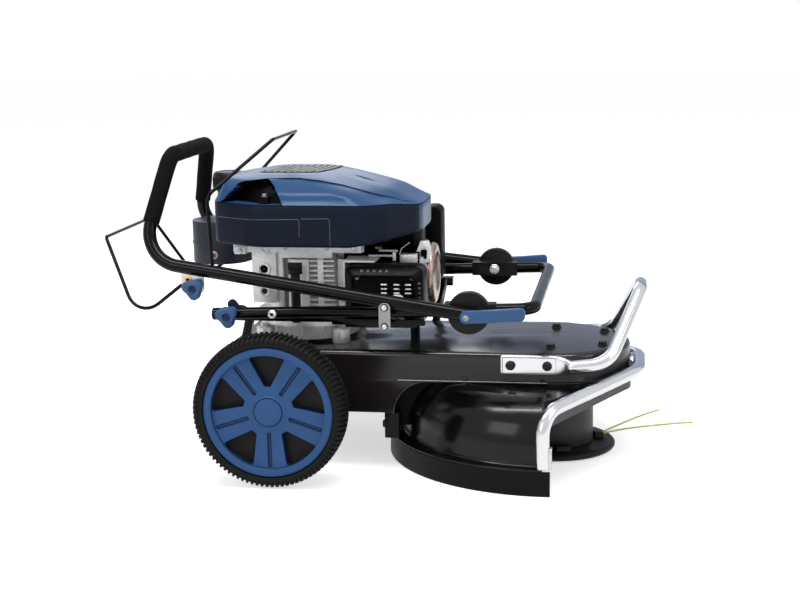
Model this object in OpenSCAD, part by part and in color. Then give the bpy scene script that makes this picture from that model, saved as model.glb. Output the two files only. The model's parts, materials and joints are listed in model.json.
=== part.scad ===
// Wheeled string trimmer with a vertical-shaft engine, shown with its handle folded for transport.
// X points forward, Y to the machine's left and Z up. Lengths are in millimetres.
// Places along X are measured from the wheel axle, and the whole machine is then centred on its own box.

/* [Wheels] */
// Outer diameter of the tyres
tyre_d = 250; // [235:1:260]
// Width of the tyres
tyre_w = 52; // [44:1:60]
// Diameter of the rims
rim_d = 211; // [190:1:216]
// Distance between the middle planes of the two wheels
track = 532; // [528:1:580]
// Diameter of the axle
axle_d = 16; // [12:0.5:20]

/* [Deck] */
// Width of the deck
deck_w = 260; // [240:1:270]
// Height of the deck's top above the floor
deck_h = 193; // [188:1:205]
// Length of the deck behind the axle
deck_tail = 110; // [100:1:125]
// Thickness of the deck's sheet
deck_sheet = 3; // [2:0.5:4]
// Depth of the deck's side walls at the rear
deck_wall = 106; // [98:1:112]
// Depth of the deck's wall round the front
deck_nose_wall = 50; // [46:1:56]
// Distance from the axle forward to the cutter's spindle
spindle_x = 434; // [425:1:460]

/* [Cutter] */
// Outer radius of the guard's skirt
guard_r = 283; // [278:1:290]
// Height of the skirt
skirt_h = 40; // [34:1:46]
// Radius of the trimmer head's bottom disc
head_r = 106; // [95:1:115]
// Radius of the trimmer head's drum
drum_r = 68; // [60:1:75]
// Diameter of the spindle
spindle_d = 24; // [20:1:28]
// Diameter of the cutting line
line_d = 3; // [2.4:0.1:3.5]
// Radius of the driven pulley
driven_r = 52; // [46:1:58]

/* [Bumpers] */
// Diameter of the upper bumper's tube
bumper_d = 22; // [18:1:25]
// Diameter of the lower bumper's tube
nose_d = 19; // [16:1:22]
// Reach of the lower bumper in front of the spindle
nose_reach = 146; // [142:1:165]
// Height of the upper bumper's top
bumper_top = 285; // [270:1:300]

/* [Engine] */
// Distance from the axle forward to the crankshaft
engine_x = 10; // [5:1:15]
// Diameter of the crankshaft
crank_d = 25; // [20:1:28]
// Radius of the drive pulley
drive_r = 36; // [32:1:40]
// Height of the sump
sump_h = 38; // [34:1:42]
// Height of the crankcase on the sump, up to the fan housing
case_h = 137; // [132:1:145]
// Length of the fan housing
shroud_l = 356; // [345:1:372]
// Width of the fan housing
shroud_w = 300; // [280:1:310]
// Height of the fan housing's lower band
band_h = 70; // [64:1:78]
// Height of the domed cover
cover_h = 43; // [36:1:50]
// Radius of the flywheel
flywheel_r = 86; // [76:1:92]
// Radius of the fuel tank
tank_r = 52; // [46:1:54]
// Radius of the fuel cap
cap_r = 30; // [26:1:32]
// Radius of the valve cover
valve_r = 56; // [50:1:60]

/* [Handles] */
// Diameter of the upper handle's tube
upper_d = 22; // [19:1:25]
// Diameter of the lower handle's tube
lower_d = 20; // [18:1:22]
// Distance between the middles of the lower handle's two legs
lower_w = 390; // [384:1:396]
// Height of the lower handle's rear pivot above the floor
pivot_h = 268; // [264:1:276]
// Distance from the axle forward to the folding joint
fold_x = 314; // [306:1:322]
// Radius of the folding joint's discs
disc_r = 33.5; // [30:0.5:36]
// Diameter of the foam grip
grip_d = 28; // [25:1:32]
// Height of the grip's crossbar above the floor
grip_h = 516; // [500:1:535]
// Diameter of the bails' wire
bail_d = 6; // [5:0.5:8]
// Radius of the knobs, out to their lobes
knob_r = 19; // [16:0.5:20]

/* [Hidden] */
$fn = 48;
// Facets of rounded outlines, per corner
corner_steps = 6;
// Overrun of cuts past the faces that they open
over = 1;
// Radial clearance of shafts and pins in their holes
fit = 0.05;
// Step of a bend over the straight run that ends in it, and the depth of that end
seam = 0.05;
seam_in = 0.4;
// Clearance between faces that pass each other
gap = 0.5;

// Sheet metal and plate
tab_t = 4;

// Bolts
bolt_r = 4;
bolt_head_r = 7;
bolt_head_h = 5;
washer_r = 9;
washer_h = 1.5;

// Wheels
wheel_r = tyre_d / 2;
rim_r = rim_d / 2;
axle_r = axle_d / 2;
wheel_y = track / 2;
rim_half = 24;
rim_bead = 12;
rim_lip = 2.5;
web_front = 16;
web_t = 8;
hub_r = 24;
hub_ring_t = 2;
hub_top = 20;
hub_low = -22;
spoke_count = 5;
spoke_turn = -18;
spoke_w = 43;
groove_w = 5;
groove_depth = 3;
window_inner_share = 0.39;
window_outer_share = 0.88;
window_round = 7;
groove_start_share = 0.33;
groove_end_share = 0.85;
tyre_round = 14;
axle_end_gap = 1;
collar_r = 13;
collar_t = 6;

// Deck
deck_half = deck_w / 2;
deck_low = deck_h - deck_wall;
lip_z = deck_h - deck_nose_wall;
arch_r = lip_z - deck_low;
arch_inset = 27;
arch_x = spindle_x - guard_r + arch_inset;
lip_w = 8;
deck_fillet = 10;
crank_hole_r = 34;
deck_bolt_places = [[0, 80], [85, 53]];
lip_bolt_back = 138;
lip_bolt_front = 10;
lip_bolt_places = [spindle_x - lip_bolt_back, spindle_x - lip_bolt_front];
lip_bolt_inset = 4;

// Guard over the cutter
guard_t = 3;
guard_top = lip_z;
guard_shoulder_r = 200;
guard_ledge_w = 21;
guard_wall_r = guard_r - guard_ledge_w;
guard_ledge_z = skirt_h;
shoulder_low = 60;
shoulder_steps = 8;
skirt_t = 4;
skirt_past = 2.5;
nose_lip_h = 20;
nose_half = 46;
nose_margin = 14;
housing_r = 42;
housing_flange_r = 62;
housing_flange_t = 6;
housing_drop = 48;
bearing_r = 26;
bearing_h = 12;
bearing_step = 20;
guard_bracket_inset = 9;
guard_bracket_x = spindle_x - guard_r + guard_bracket_inset;
guard_bracket_l = 25;
guard_bracket_w = 22;

// Trimmer head
spindle_r = spindle_d / 2;
disc_z = 2;
disc_h = 12;
disc_edge = 4;
drum_h = 76;
drum_round = 8;
clip_place_r = 86;
clip_angle = 15;
clip_l = 26;
clip_w = 16;
clip_h = 9;
clip_count = 4;
line_sides = 8;
line_z = 20;
line_spread = 4;
line_stub = 4;
line_steps = 5;
// Routes of the two line ends from beyond the clip to the tip, measured from the spindle
line_route_a = [[102, 54, 21], [122, 88, 21], [142, 122, 21], [162, 155, 20], [182, 188, 18]];
line_route_b = [[117, 40, 21], [148, 59, 21], [179, 77, 20], [210, 95, 19], [240, 112, 17]];

// Belt drive
belt_down = 31;
belt_z = deck_h - belt_down;
belt_h = 10;
belt_t = 7;
belt_steps = 24;
pulley_flange = 5;
pulley_h = 20;
pulley_flange_t = 4;
shaft_tail = 4;
idler_r = 22;
idler_x = 250;
idler_gap = 7;
idler_reach = 65;
idler_wall_room = 26;
idler_pivot = [idler_x - idler_reach, deck_half - idler_wall_room];
idler_pin_r = 6;
idler_arm_w = 24;
idler_arm_t = 5;

// Bumpers
bumper_r = bumper_d / 2;
nose_r = nose_d / 2;
bumper_plate_back = 78;
bumper_plate_ahead = 30;
bumper_plate_low = 35;
bumper_plate_high = 2;
bumper_plate = [
    [spindle_x - bumper_plate_back, spindle_x + bumper_plate_ahead],
    [deck_h - bumper_plate_low, deck_h - bumper_plate_high]
];
bumper_plate_t = 8;
bumper_bolt_back = 62;
bumper_bolt_front = 2;
bumper_bolt_x = [spindle_x - bumper_bolt_back, spindle_x - bumper_bolt_front];
bumper_apex_reach = 146;
bumper_apex_x = spindle_x + bumper_apex_reach;
bumper_apex_half = 28;
bumper_knee_reach = 97;
bumper_knee_x = spindle_x + bumper_knee_reach;
bumper_knee_out = 6;
bumper_knee_y = deck_half + bumper_knee_out;
bumper_knee_rise = 6;
bumper_bend = 45;
bumper_apex_bend = 28;
nose_bend = 45;
leg_bend = 40;
nose_tab_t = 5;
nose_tab_h = 34;
nose_z = lip_z + nose_r + gap;
nose_leg_drop = 13;
nose_leg_top = lip_z - nose_leg_drop;
nose_corner_half = 55;
nose_leg_y = guard_wall_r + nose_r + gap;
nose_corner_x = spindle_x + nose_reach;

// Handle brackets
rail_t = 13;
rail_drop = 16;
rail_low = pivot_h - rail_drop;
rail_lift = 4;
rail_high = pivot_h + rail_lift;
rail_rear = -98;
rail_front = 100;
cradle_front = 238;
cradle_back = 112;
cradle_h = 13;
cradle_cut = 12;
leg_w = 14;
leg_foot_inset = 18;
leg_foot_y = deck_half - leg_foot_inset;
front_leg_x = 222;
front_foot_x = 212;
rear_leg_x = -50;
rear_foot_x = -85;
strap_x = 182;
strap_w = 19;
strap_tab_w = 13;
strap_drop = 18;
strap_low = pivot_h - strap_drop;
strap_lift = 27;
strap_high = pivot_h + strap_lift;
strap_shoulder_lift = 17;
strap_shoulder = pivot_h + strap_shoulder_lift;
strap_t = 3;
strap_bolt_drop = 11;
strap_bolt_z = pivot_h - strap_bolt_drop;
strap_bolt_r = 3.5;
strap_rivet_lift = 21;
strap_rivet_z = pivot_h + strap_rivet_lift;

// Engine
crank_r = crank_d / 2;
sump_z = deck_h;
case_z = sump_z + sump_h;
shroud_z = case_z + case_h;
cover_z = shroud_z + band_h;
cover_top = cover_z + cover_h;
sump_r = 84;
sump_flange_r = 92;
sump_flange_t = 9;
sump_foot_r = 15;
sump_foot_place_r = 94;
sump_foot_h = 24;
rib_t = 5;
case_r = 70;
case_block_h = 104;
case_reach = 72;
case_front = engine_x + case_reach;
case_half = 62;
case_neck_r = 52;
case_flange_r = 96;
case_flange_t = 12;
case_arm_l = 110;
case_arm_w = 24;
barrel_lift = 110;
barrel_z = deck_h + barrel_lift;
barrel_r = 40;
barrel_reach = 186;
barrel_end = engine_x + barrel_reach;
fin_count = 9;
fin_t = 3;
fin_w = 112;
fin_h = 104;
fin_round = 14;
head_plate_t = 16;
valve_t = 22;
valve_rim_t = 6;
valve_inset = 9;
muffler_back = 94;
muffler_front = 220;
muffler_x = [engine_x + muffler_back, engine_x + muffler_front];
muffler_drop = 68;
muffler_lift = 33;
muffler_z = [barrel_z - muffler_drop, barrel_z + muffler_lift];
muffler_y = [92, 148];
muffler_wall = 2.5;
muffler_round = 14;
muffler_can_gap = 9;
muffler_pipe_r = 14;
louvre_w = 34;
louvre_h = 6;
louvre_rows = 4;
louvre_cols = 2;
plug_r = 6;
plug_hex_r = 10;
plug_len = 22;
boot_r = 10;
boot_len = 34;
carb_back = 102;
carb_front = 148;
carb_x = [engine_x + carb_back, engine_x + carb_front];
carb_half = 24;
carb_z = about(barrel_z, carb_half);
carb_w = 50;
carb_y = [fin_w / 2, fin_w / 2 + carb_w];
carb_bowl_r = 19;
carb_bowl_h = 18;
filter_back = 108;
filter_front = 217;
filter_x = [engine_x + filter_back, engine_x + filter_front];
filter_drop = 31;
filter_z = [barrel_z - filter_drop, case_z + case_h - 2 * gap];
filter_crown_h = 36;
filter_crown = filter_z[1] + filter_crown_h;
filter_w = 54;
filter_y = [carb_y[1], carb_y[1] + filter_w];
filter_round = 14;
tank_back = 172;
tank_x = engine_x - tank_back;
tank_y = 55;
tank_lift = 119;
tank_low = deck_h + tank_lift;
tank_body_h = 74;
tank_high = tank_low + tank_body_h;
neck_r = 22;
neck_ahead = 14;
neck_x = tank_x + neck_ahead;
neck_out = 11;
neck_y = tank_y + neck_out;
neck_lift = 52;
cap_low = tank_high + neck_lift;
cap_h = 33;
cap_ribs = 24;
cap_rib_r = 2;
tank_bracket_w = 40;
tank_bracket_low = 6;
tank_bracket_high = 24;
tank_bracket_z = [tank_low + tank_bracket_low, tank_low + tank_bracket_high];
shroud_wall = 3;
shroud_back = 148;
shroud_rear = engine_x - shroud_back;
shroud_rise = 16;
shroud_rise_ahead = 100;
shroud_rise_x = engine_x + shroud_rise_ahead;
// Plan of the fan housing as shares of its length and of its half width
shroud_plan_shares = [[0.02, -0.66], [0.24, -1], [0.82, -1], [1, -0.4], [1, 0.4], [0.82, 1], [0.27, 1],
    [0, 0.1]];
shroud_round_shares = [0.2, 0.5, 0.4, 0.4, 0.4, 0.4, 0.4, 0.2];
// Levels of the domed cover: height, rear, front and width, each as a share
dome_shares = [[0, 0, 1, 1], [0.15, 0.012, 0.94, 0.983], [0.46, 0.035, 0.83, 0.94],
    [0.84, 0.065, 0.65, 0.77], [1, 0.14, 0.57, 0.58]];
dome_slice = 0.2;
grille_back = 62;
grille_front = 66;
grille_x = [engine_x - grille_back, engine_x + grille_front];
grille_half = 66;
grille_t = 3;
grille_round = 26;
slat_count = 11;
slat_w = 6;
slat_lean = 25;
flywheel_z = 14;
flywheel_h = 34;
flywheel_web = 10;
flywheel_rim = 16;
vane_count = 16;
vane_t = 3;
starter_r = 44;
starter_h = 10;
starter_gap = 2;
dip_back = 3;
dip_x = engine_x - dip_back;
dip_y = 100;
dip_r = 8;
dip_foot = 2;
dip_low = deck_h + sump_h + dip_foot;
dip_tube_h = 83;
dip_high = dip_low + dip_tube_h;
dip_cap_r = 12;
dip_cap_h = 9;
dip_wing = 4;
dip_wing_h = 10;

// Handles
upper_r = upper_d / 2;
lower_r = lower_d / 2;
lower_y = lower_w / 2;
pivot_x = -8;
tail_x = -110;
lower_reach = 101;
lower_front_x = fold_x + lower_reach;
lower_slope_share = 0.0303;
lower_bend = 28;
sleeve_l = 82;
sleeve_half = 12;
sleeve_in = 12;
disc_t = 8;
stud_r = 5;
grip_r = grip_d / 2;
grip_half = 108;
grip_x = -199;
grip_low_share = 0.35;
grip_bend = 32;
knee_x = -238;
knee_lift = 81.5;
knee_z = pivot_h + knee_lift;
knee_half = 172;
knee_bend = 62;
upper_tip = 13;
lever_t = 11;
lever_gap = 2.5;
lever_eye_r = 14;
lever_l = 90;
lever_rise = 6;
lever_half = 10;
lever_tip_half = 7;
knob_stud_r = 4;
knob_t = 16;
knob_lobe = 5;
knob_boss_r = 9;
knob_boss_t = 4;
knob_gap = 1;
tail_knob_x = -80;
lock_nut_t = 14;

// Bails
bail_r = bail_d / 2;
bail_eye_room = 1;
bail_eye_bend = bail_r + bail_eye_room;
bail_eye_depth = 6;
bail_small_bend = 9;
bail_bend = 24;
front_pivot_x = -115;
front_elbow_drop = 26;
front_top_lift = 59;
front_elbow = [-121, 167, cover_top - front_elbow_drop];
front_top = [-28, 85, cover_top + front_top_lift];
rear_pivot_lift = 51;
rear_pivot = [-154, pivot_h + rear_pivot_lift];
rear_low_drop = 20;
rear_low = [-246, pivot_h - rear_low_drop];
rear_back_lift = 111;
rear_back = [-315, pivot_h + rear_back_lift];
rear_back_half = 120;
rear_low_bend = 40;
bracket_x = [-165, -127];
bracket_lift = 29;
bracket_low = pivot_h + bracket_lift;
bracket_round = 8;
bail_knob_x = -141;
bail_knob_lift = 39;
bail_knob_z = pivot_h + bail_knob_lift;

// Middle of the machine's box along X, without the cutting line
rear_end = rear_back[0] - bail_r;
front_end = max(nose_corner_x + nose_r, bumper_apex_x + bumper_r);
centre_x = (rear_end + front_end) / 2;

function unit(v) = v / norm(v);
function flip(p) = [p[0], -p[1], p[2]];
function about(mid, half) = [mid - half, mid + half];
function backwards(list) = [for (i = [len(list) - 1 : -1 : 0]) list[i]];
// A path on the right side, carried on by its mirror image on the left side
function hoop(half) = concat(half, [for (p = backwards(half)) flip(p)]);
function bend_trim(p, i, bends) =
    (i == 0 || i == len(p) - 1) ? 0
    : bends[i - 1] * tan(acos(unit(p[i] - p[i - 1]) * unit(p[i + 1] - p[i])) / 2);
function run_trim(p, i, bends) = max(bend_trim(p, i, bends) - seam_in, 0);
function corner_arc(a, b, c, r) =
    let (u = unit(a - b), w = unit(c - b), half = acos(u * w) / 2)
    let (mid = b + unit(u + w) * r / sin(half), s = b + u * r / tan(half) - mid, e = b + w * r / tan(half)
        - mid)
    let (a0 = atan2(s[1], s[0]), turn = (atan2(e[1], e[0]) - a0 + 540) % 360 - 180)
    [for (k = [0 : corner_steps]) mid + r * [cos(a0 + turn * k / corner_steps),
        sin(a0 + turn * k / corner_steps)]];
// A polygon with its corners rounded to one radius, or to one radius each
function rounded(p, r) =
    [for (i = [0 : len(p) - 1])
        each corner_arc(p[(i + len(p) - 1) % len(p)], p[i], p[(i + 1) % len(p)], is_list(r) ? r[i] : r)];
function box_points(x, y) = [[x[0], y[0]], [x[1], y[0]], [x[1], y[1]], [x[0], y[1]]];
// A convex polygon, anticlockwise, with every edge moved inwards
function inset(p, t) =
    [for (i = [0 : len(p) - 1])
        let (d1 = unit(p[i] - p[(i + len(p) - 1) % len(p)]), d2 = unit(p[(i + 1) % len(p)] - p[i]))
        let (n1 = [-d1[1], d1[0]], n2 = [-d2[1], d2[0]])
        p[i] + t * (n1 + n2) / (1 + n1 * n2)];
function lobe_points(r, depth) =
    [for (a = [0 : 6 : 354]) (r - depth + depth * cos(3 * a)) * [cos(a), sin(a)]];

module in_frame() { translate([-centre_x, 0, 0]) children(); }
module both_sides() { for (side = [-1, 1]) scale_side(side) children(); }
module scale_side(side) { if (side > 0) mirror([0, 1, 0]) children(); else children(); }
module along_x(x0, x1) { translate([x0, 0, 0]) rotate([90, 0, 90]) linear_extrude(x1 - x0) children(); }
module along_y(y0, y1) { translate([0, y1, 0]) rotate([90, 0, 0]) linear_extrude(y1 - y0) children(); }
module along_z(z0, z1) { translate([0, 0, z0]) linear_extrude(z1 - z0) children(); }
module post(x, y, z0, z1, r) { translate([x, y, z0]) cylinder(r = r, h = z1 - z0); }
module pin_y(x, z, y0, y1, r) { translate([x, y1, z]) rotate([90, 0, 0]) cylinder(r = r, h = y1 - y0); }
module pin_x(y, z, x0, x1, r) { translate([x0, y, z]) rotate([0, 90, 0]) cylinder(r = r, h = x1 - x0); }
module block(x, y, z) { translate([x[0], y[0], z[0]]) cube([x[1] - x[0], y[1] - y[0], z[1] - z[0]]); }
module ring(r0, r1, z0, z1) { translate([0, 0, z0]) rotate_extrude() translate([r0, 0]) square([r1 - r0,
    z1 - z0]); }
module axes_at(x, y, z, place) {
    multmatrix([[x[0], y[0], z[0], place[0]], [x[1], y[1], z[1], place[1]], [x[2], y[2], z[2], place[2]]])
        children();
}
module straight(a, b, r) {
    d = unit(b - a);
    side = unit(abs(d[0]) > abs(d[2]) ? cross([0, 0, 1], d) : cross([1, 0, 0], d));
    axes_at(side, cross(d, side), d, a) cylinder(r = r, h = norm(b - a));
}
module bend(before, corner, after, bend_r, r) {
    d1 = unit(corner - before);
    d2 = unit(after - corner);
    turn = acos(d1 * d2);
    n = unit(cross(d1, d2));
    out = -cross(n, d1);
    axes_at(out, d1, n, corner - d1 * bend_r * tan(turn / 2) - out * bend_r)
        rotate_extrude(angle = turn) translate([bend_r, 0]) circle(r = r + seam);
}
// A round tube or wire along straight runs that end just inside the round bend at each corner
module bent_tube(p, bends, r) {
    for (i = [0 : len(p) - 2]) {
        d = unit(p[i + 1] - p[i]);
        straight(p[i] + d * run_trim(p, i, bends), p[i + 1] - d * run_trim(p, i + 1, bends), r);
    }
    for (i = [1 : len(p) - 2]) bend(p[i - 1], p[i], p[i + 1], bends[i - 1], r);
}
module bolt_up(x, y, z) {
    post(x, y, z, z + washer_h, washer_r);
    translate([x, y, z + washer_h]) cylinder(r = bolt_head_r, h = bolt_head_h, $fn = 6);
}

// Wheels
module at_wheel(side) {
    translate([0, side * wheel_y, wheel_r]) rotate([-90 * side, 0, 0]) children();
}
module rim_window() {
    inner = rim_r * window_inner_share;
    outer = rim_r * window_outer_share;
    half = 180 / spoke_count;
    inner_w = max(inner * tan(half) - spoke_w / 2 / cos(half), groove_w);
    outer_w = outer * sin(half) - spoke_w / 2;
    polygon(rounded([[inner, -inner_w], [outer, -outer_w], [outer, outer_w], [inner, inner_w]],
        [inner_w / 2, window_round, window_round, inner_w / 2]));
}
module rim() {
    difference() {
        rotate_extrude() polygon([
            [0, hub_top], [hub_r - hub_ring_t, hub_top], [hub_r - hub_ring_t, web_front], [hub_r,
                web_front],
            [hub_r, hub_top - hub_ring_t], [hub_r + hub_ring_t, web_front], [rim_r - rim_bead, web_front],
            [rim_r - rim_bead, rim_half], [rim_r - rim_lip, rim_half], [rim_r, rim_half - rim_lip],
            [rim_r, rim_lip - rim_half], [rim_r - rim_lip, -rim_half], [rim_r - rim_bead / 2, -rim_half],
            [rim_r - rim_bead / 2, web_front - web_t], [hub_r, web_front - web_t], [hub_r, hub_low], [0,
                hub_low]
        ]);
        translate([0, 0, hub_low - over]) cylinder(r = axle_r + fit,
            h = web_front - web_t - hub_low + over);
        for (k = [0 : spoke_count - 1]) rotate([0, 0, spoke_turn + (k + 0.5) * 360 / spoke_count]) {
            along_z(web_front - web_t - over, web_front + over) rim_window();
            rotate([0, 0, 180 / spoke_count])
                block(rim_r * [groove_start_share, groove_end_share], groove_w / 2 * [-1, 1],
                    [web_front - groove_depth, web_front + over]);
        }
    }
}
module tyre() {
    half = tyre_w / 2;
    inner = rim_r + fit;
    points = rounded([[inner, -half], [wheel_r, -half], [wheel_r, half], [inner, half]],
        [tyre_round / 3, tyre_round, tyre_round, tyre_round / 3]);
    rotate_extrude() polygon(points);
}
module right_rim() { color("#2f4f86") in_frame() at_wheel(-1) rim(); }
module left_rim() { color("#2f4f86") in_frame() at_wheel(1) rim(); }
module right_tyre() { color("#161616") in_frame() at_wheel(-1) tyre(); }
module left_tyre() { color("#161616") in_frame() at_wheel(1) tyre(); }
module axle() {
    reach = wheel_y + web_front - web_t - axle_end_gap;
    inner = wheel_y + hub_low - gap;
    color("silver") in_frame() {
        pin_y(0, wheel_r, -reach, reach, axle_r);
        both_sides() pin_y(0, wheel_r, -inner, collar_t - inner, collar_r);
    }
}

// Deck
function deck_half_profile(low) = concat(
    [[0, deck_h]],
    [for (k = [0 : corner_steps]) let (a = 90 - 90 * k / corner_steps)
        [deck_half - deck_fillet + deck_fillet * cos(a), deck_h - deck_fillet + deck_fillet * sin(a)]],
    [[deck_half, low], [deck_half - deck_sheet, low]],
    [for (k = [0 : corner_steps]) let (a = 90 * k / corner_steps, r = deck_fillet - deck_sheet)
        [deck_half - deck_fillet + r * cos(a), deck_h - deck_fillet + r * sin(a)]],
    [[0, deck_h - deck_sheet]]
);
module deck_shell() {
    arch_mid = arch_x + arch_r;
    inner = deck_half - deck_sheet;
    color("#232326") in_frame() difference() {
        union() {
            difference() {
                union() {
                    along_x(-deck_tail, spindle_x) polygon(deck_half_profile(deck_low));
                    along_x(-deck_tail, spindle_x)
                        polygon([for (p = backwards(deck_half_profile(deck_low))) [-p[0], p[1]]]);
                }
                pin_y(arch_mid, deck_low, -deck_w, deck_w, arch_r);
                block([arch_mid, spindle_x + over], [-deck_w, deck_w], [deck_low - over, lip_z]);
            }
            block([-deck_tail, deck_sheet - deck_tail], inner * [-1, 1], [deck_low, deck_h - deck_sheet]);
            translate([spindle_x, 0, 0]) rotate([0, 0, -90]) rotate_extrude(angle = 180)
                polygon(deck_half_profile(lip_z));
            translate([spindle_x, 0, 0]) rotate([0, 0, -90]) rotate_extrude(angle = 180)
                translate([inner, lip_z]) square([deck_sheet + lip_w, deck_sheet]);
            both_sides() {
                block([arch_mid, spindle_x], [-deck_half - lip_w, -inner], [lip_z, lip_z + deck_sheet]);
                translate([arch_mid, -inner, deck_low]) rotate([90, 0, 0]) rotate([0, 0, 90])
                    rotate_extrude(angle = 90) translate([arch_r, 0]) square([deck_sheet,
                        deck_sheet + lip_w]);
            }
        }
        post(engine_x, 0, deck_low, deck_h + over, crank_hole_r);
        pin_y(0, wheel_r, -deck_w, deck_w, axle_r + fit);
    }
}
module machine_bolts() {
    plate_face = deck_half + bumper_plate_t;
    plate_mid = (bumper_plate[1][0] + bumper_plate[1][1]) / 2;
    rail_in = lower_y - lower_r - over - rail_t;
    color("#2a2a2c") in_frame() {
        both_sides() {
            for (p = deck_bolt_places) bolt_up(spindle_x + p[0], -p[1], deck_h);
            for (x = lip_bolt_places) translate([x, -deck_half - lip_bolt_inset, lip_z + deck_sheet])
                cylinder(r = lip_bolt_inset - gap, h = bolt_head_h);
            for (x = bumper_bolt_x) pin_y(x, plate_mid, -plate_face - bolt_head_h, -plate_face,
                bolt_head_r);
            pin_y(pivot_x, pivot_h, -lower_y - lower_r - gap, -rail_in - fit, bolt_r);
            pin_y(pivot_x, pivot_h, -lower_y - lower_r - gap - tab_t, -lower_y - lower_r - gap,
                bolt_head_r);
            pin_x(-deck_half + guard_bracket_w / 2, (deck_low + guard_ledge_z) / 2,
                guard_bracket_x - bolt_head_h,
                guard_bracket_x, bolt_head_r);
        }
    }
}

// Guard, skirt and spindle housing
function guard_profile() = concat(
    [[housing_r, guard_top]],
    [for (k = [0 : shoulder_steps]) let (a = 90 * k / shoulder_steps)
        [guard_shoulder_r + (guard_wall_r - guard_shoulder_r) * sin(a),
            shoulder_low + (guard_top - shoulder_low) * cos(a)]],
    [[guard_wall_r, guard_ledge_z + guard_t], [guard_r, guard_ledge_z + guard_t], [guard_r, guard_ledge_z],
        [guard_wall_r - guard_t, guard_ledge_z]],
    [for (k = [shoulder_steps : -1 : 0]) let (a = 90 * k / shoulder_steps)
        [guard_shoulder_r + (guard_wall_r - guard_t - guard_shoulder_r) * sin(a),
            shoulder_low + (guard_top - guard_t - shoulder_low) * cos(a)]],
    [[housing_r, guard_top - guard_t]]
);
function nose_plan() = [
    [0, nose_margin - guard_wall_r], [nose_reach - nose_margin, -nose_half], [nose_reach - nose_margin,
        nose_half],
    [0, guard_wall_r - nose_margin]
];
module cutter_guard() {
    color("#101012") in_frame() translate([spindle_x, 0, 0]) difference() {
        union() {
            rotate([0, 0, 90]) rotate_extrude(angle = 180) polygon(guard_profile());
            along_z(guard_top - guard_t, guard_top) polygon(nose_plan());
            along_z(guard_top - nose_lip_h, guard_top) difference() {
                polygon(nose_plan());
                polygon(inset(nose_plan(), guard_t));
                translate([-over, -guard_r]) square([guard_t + over, 2 * guard_r]);
            }
        }
        post(0, 0, guard_top - nose_lip_h, guard_top + over, housing_r);
    }
}
module guard_skirt() {
    color("#141416") in_frame() translate([spindle_x, 0, 0]) rotate([0, 0, 90 - skirt_past])
        rotate_extrude(angle = 180 + 2 * skirt_past) translate([guard_r - skirt_t, 0]) square([skirt_t,
            skirt_h]);
}
module guard_brackets() {
    color("#1a1a1c") in_frame() both_sides()
        block([guard_bracket_x, guard_bracket_x + guard_bracket_l], [-deck_half,
            guard_bracket_w - deck_half],
            [guard_ledge_z + guard_t, deck_low]);
}
module spindle_housing() {
    low = guard_top - housing_drop;
    color("silver") in_frame() translate([spindle_x, 0, 0]) {
        difference() {
            union() {
                post(0, 0, low, guard_top, housing_r - gap / 2);
                post(0, 0, guard_top, guard_top + housing_flange_t, housing_flange_r);
            }
            post(0, 0, low - over, guard_top + housing_flange_t + over, bearing_step);
            post(0, 0, low - over, low + bearing_h, bearing_r + fit);
            post(0, 0, guard_top + housing_flange_t - bearing_h, guard_top + housing_flange_t + over,
                bearing_r + fit);
        }
    }
}
module spindle_bearings() {
    low = guard_top - housing_drop;
    color("gainsboro") in_frame() translate([spindle_x, 0, 0]) {
        ring(spindle_r + fit, bearing_r, low, low + bearing_h);
        ring(spindle_r + fit, bearing_r, guard_top + housing_flange_t - bearing_h,
            guard_top + housing_flange_t);
    }
}

// Trimmer head
module spindle() {
    color("silver") in_frame() post(spindle_x, 0, disc_z + disc_h, belt_z + pulley_h / 2 + shaft_tail,
        spindle_r);
}
module head_drum() {
    low = disc_z + disc_h;
    color("#2c2829") in_frame() translate([spindle_x, 0, 0]) rotate_extrude() polygon([
        [spindle_r + fit, low], [drum_r, low], [drum_r, low + drum_h - drum_round],
        [drum_r - drum_round, low + drum_h], [spindle_r + fit, low + drum_h]
    ]);
}
module head_disc() {
    color("#111112") in_frame() translate([spindle_x, 0, 0]) {
        rotate_extrude() polygon([
            [0, disc_z], [head_r - disc_edge, disc_z], [head_r, disc_z + disc_edge], [head_r,
                disc_z + disc_h - disc_edge],
            [head_r - disc_edge, disc_z + disc_h], [0, disc_z + disc_h]
        ]);
        for (k = [0 : clip_count - 1]) rotate([0, 0, clip_angle + k * 360 / clip_count])
            block([clip_place_r - clip_w, clip_place_r], about(0, clip_l / 2),
                [disc_z + disc_h - over, disc_z + disc_h + clip_h]);
    }
}
function tube_ring(p, i, r) =
    let (d = unit(p[min(i + 1, len(p) - 1)] - p[max(i - 1, 0)]), side = unit(cross([0, 0, 1], d)),
        up = cross(d, side))
    [for (k = [0 : line_sides - 1]) p[i] + r * (cos(k * 360 / line_sides)
        * side + sin(k * 360 / line_sides) * up)];
module line_tube(p, r) {
    n = line_sides;
    last = (len(p) - 1) * n;
    walls = [for (i = [0 : len(p) - 2], k = [0 : n - 1]) let (a = i * n + k, b = i * n + (k + 1) % n)
        each [[a, a + n, b], [b, a + n, b + n]]];
    ends = [for (k = [1 : n - 2]) each [[0, k, k + 1], [last, last + k + 1, last + k]]];
    polyhedron([for (i = [0 : len(p) - 1]) each tube_ring(p, i, r)], concat(walls, ends));
}
// The route with more points in every run
function finer(p) = concat(
    [for (i = [0 : len(p) - 2], k = [0 : line_steps - 1]) p[i] + (p[i + 1] - p[i]) * k / line_steps],
    [p[len(p) - 1]]
);
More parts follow.
